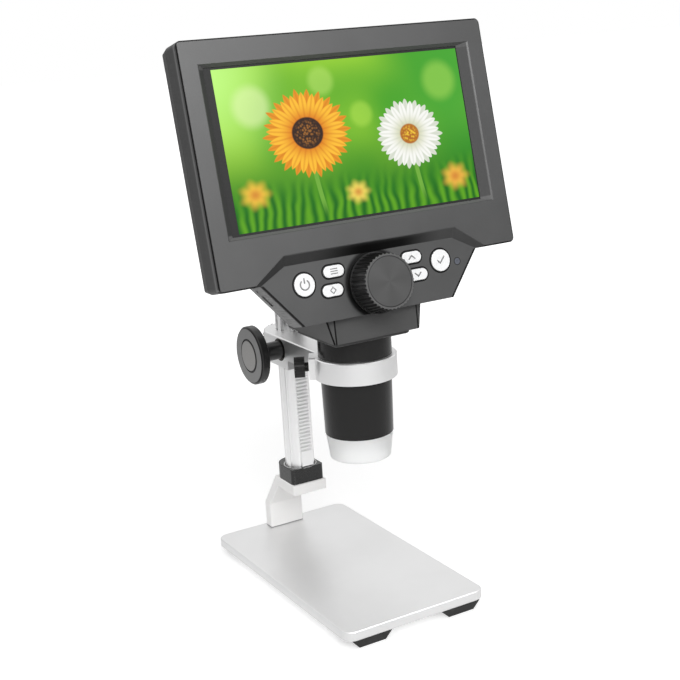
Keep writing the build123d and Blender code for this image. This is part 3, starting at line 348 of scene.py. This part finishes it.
rack_finish = Finish("rack_milled", {"Metallic": 0.75})
mill_lines = rack_finish.noise(2600, 2, (0.05, 1, 1))
rack_finish.set({
    "Base Color": rack_finish.blend(mill_lines, grey(0.88), grey(0.96)),
    "Roughness": 0.26 + mill_lines * 0.16,
})
rack_finish.relief(mill_lines, 0.00001)
dress(rack_finish, "column_rack")
dress(moulded("column_cap_black", 0.012, 0.34), "column_cap")


def radius_round(finish, point, axis):
    """The distance from an axis through a point, in millimetres."""
    from_point = finish.add("ShaderNodeVectorMath", {"operation": "SUBTRACT"}, {0: finish.place, 1: point})
    down_axis = finish.add("ShaderNodeVectorMath", {"operation": "DOT_PRODUCT"},
                           {0: from_point, 1: axis}, out="Value")
    distance = finish.add("ShaderNodeVectorMath", {"operation": "LENGTH"}, {0: from_point}, out="Value")
    return (distance * distance - down_axis * down_axis) ** 0.5 * 1000


column_foot, collar_top, collar_bore = (0, 0.0495, 0.0523), 62.3, 10.7
collar_finish = Finish("collar_black", {"Specular IOR Level": 0.5})
collar_skin = collar_finish.noise(1500, 2)
in_bore = (radius_round(collar_finish, column_foot, (0, 0, 1)) - collar_bore).between(0.1, -0.1)
# A pale ring round the bore, just under the collar's top, is a painted highlight on the black plastic.
painted_bore_highlight = in_bore * collar_finish.along((0, 0, 1), collar_top).between(-0.4, -0.1)
collar_tone = collar_finish.blend(collar_skin, grey(0.006), grey(0.010))
collar_finish.set({
    "Base Color": collar_finish.blend(painted_bore_highlight, collar_tone, grey(0.60)),
    "Roughness": 0.22 + collar_skin * 0.1,
})
collar_finish.relief(collar_skin, 0.00001)
dress(collar_finish, "column_collar")

# ---------------------------------------------------------------- carriage
# One aluminium die casting holds the pinion's block, the clamp round the column, the arm and the
# tube's ring. It is machined, blasted and anodised. Bronze bushes, dark with oil, carry the shaft.

dress(anodised("carriage_anodised", 0.86, 0.30), "carriage")

bronze_finish = Finish("bush_bronze", {"Metallic": 1.0})
pores = bronze_finish.cells(2500)
bronze_tone = bronze_finish.blend(pores.between(0.1, 0.5), (0.020, 0.018, 0.016), (0.055, 0.050, 0.045))
bronze_finish.set({
    "Base Color": bronze_tone,
    "Roughness": 0.55 - pores * 0.2,
})
dress(bronze_finish, "pinion_bushes")

# ---------------------------------------------------------------- coarse drive
# A ground steel shaft carries the brass pinion. The black knob is moulded, with a grey anodised disc
# let into its face, and a steel ring keeps the shaft in on the other side.


def turned(name, colour, axis):
    """Bar turned on a lathe: fine rings round its axis."""
    finish = Finish(name, {"Metallic": 1.0})
    rings = finish.noise(6000, 2, tuple(1.0 if part else 0.02 for part in axis))
    cloud = finish.noise(400, 2)
    finish.set({
        "Base Color": finish.blend(cloud, [part * 0.9 for part in colour], colour),
        "Roughness": 0.28 + rings * 0.15,
    })
    finish.relief(rings, 0.000006)
    return finish


def rings_round(radius, spacing):
    """Fine concentric grooves on a face, as a lathe tool leaves them."""
    return radius.maths("SINE", radius * (2 * pi / spacing)) * 0.5 + 0.5


shaft_axis, shaft_place = (1, 0, 0), (0, 0.03325, 0.1453)
knob_face, knob_edge, inlay_radius, inlay_gap = -38.0, 17.1, 9.7, 0.5
dress(turned("coarse_shaft_steel", (0.60, 0.60, 0.61), shaft_axis), "coarse_shaft", "shaft_ring")
dress(turned("pinion_brass", (0.70, 0.55, 0.28), shaft_axis), "coarse_pinion")

knob_finish = Finish("coarse_knob_black", {"Specular IOR Level": 0.5})
knob_skin, behind_face = knob_finish.noise(1500, 2), knob_finish.along(shaft_axis, knob_face)
knob_reach = radius_round(knob_finish, shaft_place, shaft_axis)
from_edge, from_inlay = knob_reach - knob_edge, knob_reach - inlay_radius - inlay_gap
# Painted shade: dark lines round the face's edge and in the gap round the disc, black and metallic so that
# they take no sheen.
knob_shade_lines = from_edge.between(-0.6, -0.3) * from_edge.between(0.6, 0.4) | from_inlay.between(0.5, 0.2)
knob_body = knob_finish.blend(knob_skin, grey(0.016), grey(0.022))
# The face is painted mid grey over the knob's black: a painted reflection of the bright light it faces.
knob_face_painted_sheen = knob_finish.blend(knob_shade_lines, grey(0.21), grey(0.008))
knob_finish.set({
    "Base Color": knob_finish.blend(behind_face.between(0.4, 0.2), knob_body, knob_face_painted_sheen),
    "Metallic": knob_shade_lines * behind_face.between(1.1, 0.9) * 0.8,
    "Roughness": 0.26 + knob_skin * 0.12,
})
knob_finish.relief(knob_skin, 0.00002)
dress(knob_finish, "coarse_knob")

inlay_finish = Finish("knob_inlay_anodised", {"Metallic": 0.75})
inlay_reach = radius_round(inlay_finish, shaft_place, shaft_axis)
# The disc's outer rim is painted dark, as shade at the gap round it.
inlay_rings, inlay_rim_shade = rings_round(inlay_reach, 0.35), (inlay_reach - inlay_radius).between(-0.6, -0.3)
inlay_tone = inlay_finish.blend(inlay_rings, grey(0.30, 0.02), grey(0.38, 0.02))
inlay_finish.set({
    "Base Color": inlay_finish.blend(inlay_rim_shade, inlay_tone, grey(0.05)),
    "Roughness": 0.34 + inlay_rings * 0.1,
})
inlay_finish.relief(inlay_rings, 0.000008)
dress(inlay_finish, "coarse_knob_cap")

# ---------------------------------------------------------------- lock knob and thumbscrew
# Both are black plastic heads moulded on steel screws. The lock knob clamps the carriage on the
# column. The thumbscrew goes through the ring's lug, and its thread shows between lug and head.


def piece(name, shape, finish, body, stands_for=()):
    """Makes a finished shape a piece of the scene that rides on its body."""
    bmesh.ops.remove_doubles(shape, verts=shape.verts, dist=1e-6)
    bmesh.ops.recalc_face_normals(shape, faces=shape.faces)
    mesh = bpy.data.meshes.new(name)
    shape.to_mesh(mesh)
    shape.free()
    mesh.set_sharp_from_angle(angle=radians(35))
    mesh.materials.append(finish.material)
    made = bpy.data.objects.new(name, mesh)
    bpy.context.scene.collection.objects.link(made)
    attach(made, body)
    if stands_for:
        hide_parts(*stands_for)


def linked(verts, kind):
    """The edges or the faces that meet at a shape's vertices."""
    return list(dict.fromkeys(item for vert in verts for item in getattr(vert, f"link_{kind}")))


dress(moulded("lock_knob_black", 0.012, 0.34, gloss=0.3), "lock_knob", "clamp_knob")
dress(screw_finish, "lock_screw")

thread_radius, thread_core, thread_pitch, thread_steps = 0.0029, 0.0025, 0.0007, 20
thread_start, thread_end = 0.0218, 0.0344
clamp_direction, ring_middle = radians(151), Vector((0, -0.030, 0.1468))
thread_shape = bmesh.new()
bmesh.ops.create_cone(
    thread_shape, cap_ends=True, segments=32, radius1=thread_core, radius2=thread_core,
    depth=thread_end - thread_start, matrix=Matrix.Translation((0, 0, (thread_start + thread_end) / 2)),
)
thread_turns = int((thread_end - thread_start) / thread_pitch) - 1
crest = bmesh.ops.create_circle(
    thread_shape, cap_ends=True, segments=3, radius=thread_radius - thread_core,
    matrix=Matrix.Translation((thread_core, 0, thread_start + thread_pitch / 2))
    @ Matrix.Rotation(pi / 2, 4, "X"),
)
bmesh.ops.spin(
    thread_shape, geom=crest["verts"] + linked(crest["verts"], "edges") + linked(crest["verts"], "faces"),
    cent=(0, 0, 0), axis=(0, 0, 1), dvec=(0, 0, thread_pitch / thread_steps),
    angle=2 * pi * thread_turns, steps=thread_steps * thread_turns,
)
thread_axis = Vector((cos(clamp_direction), sin(clamp_direction), 0))
thread_turn = Vector((0, 0, 1)).rotation_difference(thread_axis).to_matrix().to_4x4()
thread_place = Matrix.Translation(ring_middle) @ thread_turn
bmesh.ops.transform(thread_shape, matrix=thread_place, verts=thread_shape.verts)
thread_finish = plated("thumbscrew_black_oxide", 0.09, 0.35)
piece("thumbscrew_thread", thread_shape, thread_finish, "clamp", ["clamp_screw"])

# ---------------------------------------------------------------- tube, ring light and lens
# The tube is turned from aluminium in two lengths and anodised black. A clear moulding with a
# frosted face sits in its end under the ring of lamps. The lens slides inside on a black carrier.


def turned_black(name, tone, roughness):
    """Black anodised bar: satin, with a trace of the tool's rings."""
    finish = Finish(name, {"Specular IOR Level": 0.24})
    rings, cloud = finish.noise(3500, 2, (0.02, 0.02, 1)), finish.noise(50, 2)
    finish.set({
        "Base Color": finish.blend(cloud, grey(tone * 0.9), grey(tone * 1.1, 0.03)),
        "Roughness": roughness + rings * 0.1,
    })
    finish.relief(rings, 0.000008)
    return finish


dress(turned_black("tube_anodised_black", 0.014, 0.16), "upper_tube", "lower_tube")
dress(turned_black("barrel_anodised_black", 0.015, 0.5), "lens_barrel")
dress(moulded("carrier_acetal", 0.03, 0.4), "lens_carrier")

shroud_finish = Finish("shroud_frosted", {"IOR": 1.49, "Transmission Weight": 0.5})
frost = shroud_finish.noise(1800, 3)
shroud_finish.set({
    "Base Color": shroud_finish.blend(frost, (0.95, 0.96, 0.96), (0.99, 0.99, 0.99)),
    "Roughness": 0.32 + frost * 0.16,
})
shroud_finish.relief(frost, 0.00002)
dress(shroud_finish, "light_shroud")

lens_finish = Finish("lens_coated", {"IOR": 1.52, "Transmission Weight": 0.9})
coating = lens_finish.noise(200, 1)
lens_finish.set({
    "Base Color": lens_finish.blend(coating, (0.80, 0.86, 0.95), (0.86, 0.84, 0.95)),
    "Roughness": 0.02 + coating * 0.03,
})
dress(lens_finish, "objective_lens")


def circuit(name, axis, parts_start, mask_colour=(0.02, 0.10, 0.05), part_colour=(0.02, 0.02, 0.022)):
    """A circuit board: solder mask over copper tracks, gold pads, and parts that stand above it."""
    finish = Finish(name)
    tracks = finish.add("ShaderNodeTexBrick", {}, {
        "Vector": finish.place, "Scale": 160.0, "Mortar Size": 0.03, "Color1": (0, 0, 0),
        "Color2": (0, 0, 0), "Mortar": (1, 1, 1),
    }, out="Fac")
    pads = 1 - finish.cells(300).between(0.10, 0.14)
    parts = finish.along(axis, parts_start) > 0
    copper = finish.blend(tracks, mask_colour, [part * 2.2 for part in mask_colour])
    plain = finish.blend(pads * (1 - tracks), copper, (0.62, 0.48, 0.20))
    finish.set({
        "Base Color": finish.blend(parts, plain, part_colour),
        "Metallic": pads * (1 - parts) * 0.9,
        "Roughness": 0.28 + parts * 0.25,
    })
    finish.relief(tracks * (1 - parts), 0.00004)
    return finish


lamp_side, sensor_side = 109.32, 177.32
white_mask, lamp_yellow = (0.70, 0.71, 0.70), (0.85, 0.80, 0.55)
dress(circuit("lamp_board", (0, 0, -1), -lamp_side, white_mask, lamp_yellow), "light_board")
dress(circuit("camera_board", (0, 0, -1), -sensor_side), "sensor_board")

# ---------------------------------------------------------------- housing above the tube
# The housing is an ABS moulding screwed to the back of the shell, with a seam groove down each
# side. A cover under it clamps the tube's flange. All the screws are black.

housing_finish = Finish("housing_abs", {"Specular IOR Level": 0.5})
housing_skin, housing_cloud = housing_finish.noise(1500, 2), housing_finish.noise(35, 2)
housing_bottom, lean_top, housing_front = 168.5, 182.4, -54.5
front_seam_side, side_seam_foot, side_seam_lean = 26.8, -56.47, 0.1763
beside = abs(housing_finish.along((1, 0, 0)))
depth, rise = housing_finish.along((0, 1, 0)), housing_finish.along((0, 0, 1))
behind_seam = depth - side_seam_foot - (rise - housing_bottom) * side_seam_lean
# The seam grooves are painted near black and metallic, as shade in the grooves.
front_seam = abs(beside - front_seam_side).between(0.55, 0.35) * (depth < housing_front)
side_seam = abs(behind_seam).between(0.6, 0.4) * (beside > front_seam_side + 0.4)
seam_shade = (front_seam | side_seam) * (rise - lean_top).between(0.2, -0.1) * 0.9
housing_tone = housing_finish.blend(housing_cloud.between(0.3, 0.7), grey(0.052), grey(0.060))
housing_finish.set({
    "Base Color": housing_finish.blend(seam_shade, housing_tone, grey(0.003)),
    "Metallic": seam_shade,
    "Roughness": 0.40 + housing_skin * 0.12,
})
housing_finish.relief(housing_skin, 0.00002)
dress(housing_finish, "tube_housing")
dress(moulded("cover_abs", 0.045, 0.42), "housing_cover")
oxide_finish = plated("screw_black_oxide", 0.06, 0.4)
dress(oxide_finish, "housing_screws", "cover_screws")

# ---------------------------------------------------------------- rear shell, boards and battery
# The rear shell is a grained ABS moulding. Behind the panel's slanted sides sit the charging port
# and the card slot. The main board stands on posts beside a foil-wrapped cell.

head_tilt, screen_middle = radians(12.84), Vector((0, -0.0409, 0.27855))
head_half_width, head_half_height, head_middle = 95.1, 65.3, -6.5
head_foot, board_level = head_middle - head_half_height, -8.5
facing = Vector((0, -cos(head_tilt), sin(head_tilt)))
upward = Vector((0, sin(head_tilt), cos(head_tilt)))
screen_level, screen_height = screen_middle.dot(facing) * 1000, screen_middle.dot(upward) * 1000
rear_finish = Finish("rear_shell_abs", {"Specular IOR Level": 0.5})
rear_skin, rear_lines = rear_finish.noise(1100, 2), rear_finish.noise(900, 3, (1, 0.04, 1))
rear_up = rear_finish.along(upward, screen_height)
# The panel's slanted sides are painted light grey: painted light, reflected up from the table below them.
lit_panel_sides = rear_up.between(head_foot + 0.1, head_foot - 0.6)
rear_tone = rear_finish.blend(rear_lines, grey(0.034), grey(0.046))
lit_strip_tone = rear_finish.blend(rear_lines.between(0.3, 0.7), grey(0.15), grey(0.23))
rear_finish.set({
    "Base Color": rear_finish.blend(lit_panel_sides, rear_tone, lit_strip_tone),
    "Roughness": 0.44 + rear_skin * 0.12,
})
rear_finish.relief(rear_skin, 0.00003)
dress(rear_finish, "rear_shell")
dress(oxide_finish, "shell_screws")
dress(circuit("main_board_green", facing, screen_level + board_level + 0.05), "main_board")
dress(plated("port_plated", 0.62, 0.22), "usb_port", "card_slot")

foil_finish = Finish("cell_foil", {"Metallic": 0.8})
crinkle, tape = foil_finish.noise(220, 5), foil_finish.along(upward, screen_height + 21)
foil_tone = foil_finish.blend(crinkle, grey(0.34), grey(0.44))
foil_finish.set({
    "Base Color": foil_finish.blend(tape > 0, foil_tone, (0.65, 0.38, 0.06)),
    "Roughness": 0.35 + crinkle * 0.2,
})
foil_finish.relief(crinkle, 0.0002)
dress(foil_finish, "battery")

# ---------------------------------------------------------------- screen
# A seven-inch panel in a black metal tray, with its lit area under a thin polarising film. It
# shows a garden: a sunflower and a daisy over blades of grass, against bright green.

tray_finish = Finish("screen_tray_black", {"Specular IOR Level": 0.2})
tray_skin = tray_finish.noise(1200, 2)
tray_finish.set({
    "Base Color": tray_finish.blend(tray_skin, grey(0.010), grey(0.018)),
    "Roughness": 0.48 + tray_skin * 0.15,
})
tray_finish.relief(tray_skin, 0.000015)
dress(tray_finish, "lcd_module")

garden = Finish("screen_garden", {"Base Color": (0.01, 0.01, 0.01), "Specular IOR Level": 0.15,
                                  "Emission Strength": 1.0})
film_skin = garden.noise(3000, 1)
garden.set({"Roughness": 0.20 + film_skin * 0.05})
side = garden.along((1, 0, 0))
height = garden.along(upward, screen_height)
sunflower, daisy = (-27, 5), (37, -2)

# Leaves out of focus, sunlit at the upper left, and darker to the right and below.
leaves = garden.noise(14, 1).between(0.35, 0.65)
scenery = garden.blend(leaves, (0.06, 0.36, 0.01), (0.34, 0.68, 0.03))
for light, colour in (
    (side.between(-30, -80) * height.between(-20, 40), (0.52, 0.95, 0.20)),
    (side.between(10, 80) * 0.7, (0.05, 0.38, 0.03)),
    (height.between(15, -36), (0.01, 0.20, 0.002)),
):
    scenery = garden.blend(light, scenery, colour)


def diagonal(across, up):
    """The straight distance to a place from how far across and how far up it is."""
    return (across * across + up * up) ** 0.5


def bloom_shape(across, up, squash=1.0):
    """Distance and angle round a flower's middle."""
    x, y = side - across, (height - up) * (1 / squash)
    return diagonal(x, y), x.maths("ARCTAN2", y, x)


# Round spots of light between the leaves.
for across, up, size, colour in (
    (-58, 22, 14, (0.85, 0.98, 0.50)), (-14, 32, 10, (0.50, 0.80, 0.15)),
    (62, 26, 14, (0.40, 0.75, 0.10)), (8, 12, 9, (0.45, 0.78, 0.08)),
):
    spread, _ = bloom_shape(across, up)
    scenery = garden.blend((1 - spread.between(size * 0.5, size)) * 0.45, scenery, colour)

# Blades of grass that rise from the lower edge, with three blurred flowers in them.
blades = garden.add("ShaderNodeTexWave", {"wave_type": "BANDS", "bands_direction": "X"}, {
    "Vector": garden.place, "Scale": 52.0, "Distortion": 9.0, "Detail": 2.0, "Detail Scale": 0.6,
})
turf = (height + garden.noise(45, 2) * 26).between(-3, -24)
grass = garden.blend(blades, (0.004, 0.13, 0.002), (0.12, 0.40, 0.006))
scenery = garden.blend(turf * 0.85, scenery, grass)

for across, up, size, colour in (
    (-64, -24, 12, (0.95, 0.55, 0.05)), (-2, -30, 10, (0.98, 0.72, 0.12)),
    (63, -29, 12, (0.95, 0.50, 0.06)),
):
    spread, turn = bloom_shape(across, up, 0.85)
    edge = size * (0.92 + 0.08 * turn.maths("COSINE", turn * 7))
    scenery = garden.blend((spread / edge).between(1, 0.25) * 0.9, scenery, colour)
    scenery = garden.blend(spread.between(size * 0.45, 0) * 0.7, scenery, (0.60, 0.16, 0.02))

# The stems of the two flowers, and then their petals and their middles.
for across, _ in (sunflower, daisy):
    bend = (height - 2) * (height - 2) * 0.0022
    stem = abs(side - across - bend).between(1.6, 1.0) * height.between(0, -4) * height.between(-42, -30)
    scenery = garden.blend(stem, scenery, (0.16, 0.42, 0.04))


def petals(scenery, across, up, count, start, end, width, point, shift, root, tip, vein):
    """One ring of petals: each is a long lens, with a vein, a shaded root and a length of its own."""
    spread, turn = bloom_shape(across, up, 0.9)
    part = (turn + shift) * (count / (2 * pi)) + 0.5
    number = part.maths("FLOOR", part)
    chance = garden.add("ShaderNodeTexWhiteNoise", {"noise_dimensions": "1D"}, {"W": number + across})
    offset = (part - number - 0.5) * spread * (2 * pi / count)
    place = (spread - (start + end) / 2) / ((end - start) * (0.46 + chance * 0.06))
    limit = ((1 - place * place) | 0) ** point * width
    aside = abs(offset)
    colour = garden.blend(place.between(-1, 0.3), root, tip)
    colour = garden.blend(aside.between(0.9, 0.1) * 0.35, colour, vein)
    colour = garden.blend(aside.between(width * 0.55, width) * 0.55, colour, vein)
    return garden.blend((limit - aside).between(0.05, 0.6), scenery, colour)


def florets(scenery, across, up, radius, dark, pale):
    """A flower's domed middle of small florets, with a dark rim."""
    spread, _ = bloom_shape(across, up, 0.9)
    grains = garden.cells(700)
    colour = garden.blend(grains.between(0.15, 0.7), pale, dark)
    colour = garden.blend(spread.between(radius * 0.45, radius), colour, dark)
    return garden.blend(spread.between(radius + 0.5, radius - 0.5), scenery, colour)


for shift, end, root, tip in (
    (0.0, 27.5, (0.50, 0.10, 0.0), (0.80, 0.30, 0.01)),
    (0.14, 25.0, (0.70, 0.17, 0.0), (0.98, 0.52, 0.03)),
):
    scenery = petals(scenery, *sunflower, 22, 6.0, end, 2.9, 0.8, shift, root, tip, (0.55, 0.13, 0.0))
scenery = florets(scenery, *sunflower, 9.5, (0.030, 0.010, 0.004), (0.34, 0.13, 0.02))
for shift, end, root, tip in (
    (0.1, 22.0, (0.42, 0.48, 0.28), (0.72, 0.76, 0.66)),
    (0.27, 20.5, (0.62, 0.64, 0.40), (0.95, 0.95, 0.91)),
):
    scenery = petals(scenery, *daisy, 19, 3.5, end, 2.6, 0.5, shift, root, tip, (0.55, 0.60, 0.48))
scenery = florets(scenery, *daisy, 6.2, (0.45, 0.14, 0.01), (0.92, 0.60, 0.04))
garden.set({"Emission Color": scenery})
dress(garden, "display_film")

# ---------------------------------------------------------------- bezel and control panel
# The bezel is a grained ABS frame that clips and screws on the shell, with a sloped recess round
# the screen and a sunken control panel. A light pipe fills the small hole by the confirm button.

face_level, panel_level, recess_half = 2.5, -1.2, 42.8
panel_top_half, panel_foot_half, panel_drop = 69.5, 49.0, 25.2
round_place, upper_place, lower_place = (44.1, -75.0), (25.2, -70.4), (27.6, -80.6)
round_radius, slot_radius, slot_half = 6.2, 3.2, 3.2
pipe_across, pipe_up, pipe_radius = 55.5, -77.2, 1.2
wheel_up, wheel_radius = -81.0, 17.2
bezel_finish = Finish("bezel_abs", {"Specular IOR Level": 0.5})
bezel_across, bezel_up = bezel_finish.along((1, 0, 0)), bezel_finish.along(upward, screen_height)
bezel_level, bezel_side = bezel_finish.along(facing, screen_level), abs(bezel_across)
above_panel, below_face = bezel_level - panel_level, face_level - bezel_level
below_screen = -recess_half - bezel_up


def apart(across, up, half=0.0):
    """The distance from a point of the panel, or from a level bar as long as two halves."""
    return diagonal((abs(bezel_side - across) - half) | 0, bezel_up - up)


# Painted shade: thin dark lines along the front edge and the panel's slanted sides, and in the gaps round
# buttons and light pipe.
rim_gap = (bezel_side - head_half_width) | (abs(bezel_up - head_middle) - head_half_height)
front_edge_shade = below_face.between(0.6, 0.4) * rim_gap.between(-1.0, -0.65)
slant = Vector((panel_drop, panel_top_half - panel_foot_half)).normalized()
slant_gap = (bezel_side - panel_top_half) * slant.x - (bezel_up - head_foot) * slant.y
panel_edge_shade = slant_gap.between(-1.3, -0.95) * bezel_up.between(head_foot + 0.2, head_foot - 0.2)
button_gap = (apart(*round_place) - round_radius) & (
    (apart(*upper_place, slot_half) & apart(*lower_place, slot_half)) - slot_radius)
pipe_gap = diagonal(bezel_across - pipe_across, bezel_up - pipe_up) - pipe_radius
pipe_edge_shade = pipe_gap.between(0.5, 0.7) * pipe_gap.between(1.2, 1.0)
edge_and_gap_shade = button_gap.between(1.2, 0.9) | front_edge_shade | panel_edge_shade | pipe_edge_shade * 0.8

# The inner walls are in shade, least on their right and their slopes, and most over the panel's lip.
inside = above_panel.between(0.05, 0.2) * (bezel_side < head_half_width - 0.6)
inner_walls = inside * below_face.between(0.2, 0.4)
low_slope = below_screen.between(0, 0.8) * below_screen.between(6.2, 5.2)
high_slope = (bezel_up - recess_half).between(0, 0.8)
over_lip = bezel_up.between(-56, -60) * bezel_across.between(-40, -5) * bezel_across.between(48, 18)
rim_band = bezel_level.between(-1.5, -1.1) * bezel_level.between(0.7, 0.3)
rim_light = rim_band * (bezel_side > head_half_width - 0.5)
wheel_shade = (apart(0, wheel_up) - wheel_radius).between(3.6, 1.0)
# All the painted shade together: the edge and gap lines, the wheel's shadow and the shade over the lip.
painted_shade_lines = (edge_and_gap_shade | wheel_shade | inner_walls * over_lip) * 0.9

bezel_skin, bezel_cloud = bezel_finish.noise(1500, 2), bezel_finish.noise(35, 2)
bezel_tone = bezel_finish.blend(bezel_cloud.between(0.3, 0.7), grey(0.046, -0.008), grey(0.054, -0.008))
wall_tone = bezel_finish.blend(bezel_across.between(-10, 45), grey(0.012), grey(0.034))
pipe_glow, lamp_blue = pipe_gap.between(0.7, 0.4), (0.09, 0.10, 0.13)
for mask, tone in (
    (inner_walls, wall_tone), (inner_walls * low_slope, grey(0.10)), (inner_walls * high_slope, grey(0.06)),
    (rim_light, grey(0.13)), (pipe_glow, lamp_blue), (painted_shade_lines, grey(0.003)),
):
    bezel_tone = bezel_finish.blend(mask, bezel_tone, tone)
# The painted shade is also metallic, so that its black takes no sheen.
bezel_finish.set({
    "Base Color": bezel_tone,
    "Metallic": painted_shade_lines,
    "Roughness": 0.40 + bezel_skin * 0.12 + inner_walls * 0.3,
})
bezel_finish.relief(bezel_skin, 0.00002)
dress(bezel_finish, "front_bezel")
dress(turned("bush_brass", (0.60, 0.46, 0.25), facing), "panel_bush", "rear_bush")
pipe_finish = Finish("light_pipe", {"Transmission Weight": 0.3, "IOR": 1.49})
pipe_cloud = pipe_finish.noise(800, 2)
pipe_finish.set({
    "Base Color": pipe_finish.blend(pipe_cloud, lamp_blue, (0.15, 0.16, 0.20)),
    "Roughness": 0.30 + pipe_cloud * 0.1,
})
dress(pipe_finish, "indicator_lens")

# ---------------------------------------------------------------- buttons
# Six white plastic caps stand in the panel over switches on a small board. A raised grey mark on
# each says what it does: power, confirm, menu, mode, up and down.

button_board_level = -8.1
cap_finish = Finish("button_white", {"Specular IOR Level": 0.5})
cap_cloud = cap_finish.noise(500, 2)
# The caps' sides, just above the panel, are painted dark grey as shade.
cap_skirt_shade = cap_finish.along(facing, screen_level).between(panel_level + 0.5, panel_level + 0.25)
cap_white = cap_finish.blend(cap_cloud, (0.94, 0.95, 0.96), (0.98, 0.98, 0.98))
cap_finish.set({
    "Base Color": cap_finish.blend(cap_skirt_shade, cap_white, grey(0.20)),
    "Roughness": 0.24 + cap_cloud * 0.1,
})
cap_finish.relief(cap_cloud, 0.000015)
dress(cap_finish, *(f"{name}_button" for name in ("power", "confirm", "menu", "mode", "up", "down")))
dress(circuit("button_board_green", facing, screen_level + button_board_level + 0.05), "button_board")
dress(plated("switch_steel", 0.55), "button_switches")

head_turn = Matrix((Vector((1, 0, 0)), upward, facing)).transposed().to_4x4()
mark_rise, button_proud, corner_reach = 0.12, 0.8, 0.96
button_face = panel_level + button_proud


def stroke(shape, start, end, width):
    """A raised bar between two points on the button's face, in millimetres.

    Its ends reach just under half its width past the points, so that no corners of two bars coincide.
    """
    run = Vector((end[0] - start[0], end[1] - start[1], 0))
    middle = Vector(((start[0] + end[0]) / 2, (start[1] + end[1]) / 2, button_face))
    bar = bmesh.ops.create_cube(
        shape, size=1,
        matrix=Matrix.Translation(middle) @ Matrix.Rotation(atan2(run.y, run.x), 4, "Z")
        @ Matrix.Diagonal((run.length + corner_reach * width, width, 2 * mark_rise, 1)),
    )
    bmesh.ops.bevel(shape, geom=linked(bar["verts"], "edges"), offset=mark_rise * 0.4, affect="EDGES",
                    segments=2, profile=0.5, material=-1)


def arc(shape, radius, gap, width):
    """A raised ring with a gap at its top, in millimetres."""
    section = bmesh.ops.create_grid(
        shape, x_segments=1, y_segments=1, size=0.5,
        matrix=Matrix.Rotation(pi / 2 + gap / 2, 4, "Z")
        @ Matrix.Translation((radius, 0, button_face)) @ Matrix.Rotation(pi / 2, 4, "X")
        @ Matrix.Diagonal((width, 2 * mark_rise, 1, 1)),
    )
    verts = section["verts"]
    bmesh.ops.spin(
        shape, geom=verts + linked(verts, "edges") + linked(verts, "faces"),
        cent=(0, 0, 0), axis=(0, 0, 1), dvec=(0, 0, 0), angle=2 * pi - gap, steps=28,
    )


mark_finish = moulded("button_mark_grey", 0.20, 0.4)
for name, hand, (across, up), width, lines in (
    ("power", -1, round_place, 0.75, [[(0, 1.1), (0, 3.4)]]),
    ("confirm", 1, round_place, 0.75, [[(-2.2, 0.1), (-0.7, -1.5), (2.4, 1.9)]]),
    ("menu", -1, upper_place, 0.5, [[(-2.0, row), (2.0, row)] for row in (-1.3, 0, 1.3)]),
    ("mode", -1, lower_place, 0.5, [[(-1.7, 0), (0, 1.7), (1.7, 0), (0, -1.7), (-1.7, 0)]]),
    ("up", 1, upper_place, 0.75, [[(-1.9, -0.9), (0, 0.9), (1.9, -0.9)]]),
    ("down", 1, lower_place, 0.75, [[(-1.9, 0.9), (0, -0.9), (1.9, 0.9)]]),
):
    mark = bmesh.new()
    if name == "power":
        arc(mark, 2.7, radians(70), width)
    for line in lines:
        for start, end in zip(line, line[1:]):
            stroke(mark, start, end, width)
    button_place = screen_middle + Vector((hand * across / 1000, 0, 0)) + upward * (up / 1000)
    mark_place = Matrix.Translation(button_place) @ head_turn @ Matrix.Scale(0.001, 4)
    bmesh.ops.transform(mark, matrix=mark_place, verts=mark.verts)
    piece(f"{name}_mark", mark, mark_finish, f"{name}_button_cap")

# ---------------------------------------------------------------- focus wheel
# The wheel is moulded in black with a ribbed side and a faintly turned grey cap glued in its face.
# It turns a steel shaft in two bushes, and a brass gear on the shaft moves the lens's rack.

wheel_centre, wheel_face = screen_middle + upward * (wheel_up / 1000), 14.0
wheel_finish = Finish("wheel_black", {"Specular IOR Level": 0.5})
wheel_skin = wheel_finish.noise(1300, 2)
# The wheel's front rim is painted grey: a painted highlight on its black.
rim = wheel_finish.along(facing, screen_level + wheel_face).between(-0.8, -0.5)
wheel_tone = wheel_finish.blend(wheel_skin, grey(0.010), grey(0.016))
wheel_finish.set({
    "Base Color": wheel_finish.blend(rim, wheel_tone, grey(0.10)),
    "Roughness": 0.26 + wheel_skin * 0.12,
})
wheel_finish.relief(wheel_skin, 0.00002)
dress(wheel_finish, "focus_wheel")

wheel_cap_radius = 14.1
wheel_cap = Finish("wheel_cap_grey", {"Specular IOR Level": 0.5})
cap_reach = radius_round(wheel_cap, wheel_centre, facing)
# The cap's outer edge is painted dark, as shade at the gap round it.
cap_rings, cap_gap_shade = rings_round(cap_reach, 0.45), (cap_reach - wheel_cap_radius).between(-0.7, -0.4)
cap_up, cap_across = wheel_cap.along(upward, screen_height + wheel_up), wheel_cap.along((1, 0, 0))
cap_turn = cap_up.maths("ARCTAN2", cap_up, cap_across)
# The cap's colour mixes its turned rings with a four-lobed sheen, which is a painted reflection.
sheen = cap_turn.maths("COSINE", cap_turn * 4 + 2.8) * 0.5 + 0.5
cap_tone = wheel_cap.blend(cap_rings * 0.4 + sheen * 0.6, grey(0.042), grey(0.062))
wheel_cap.set({
    "Base Color": wheel_cap.blend(cap_gap_shade, cap_tone, grey(0.012)),
    "Roughness": 0.36 + cap_rings * 0.12,
})
wheel_cap.relief(cap_rings, 0.00001)
dress(wheel_cap, "wheel_cap")
dress(turned("focus_shaft_steel", (0.60, 0.60, 0.61), facing), "focus_shaft")
dress(turned("focus_gear_brass", (0.70, 0.55, 0.28), facing), "focus_gear")
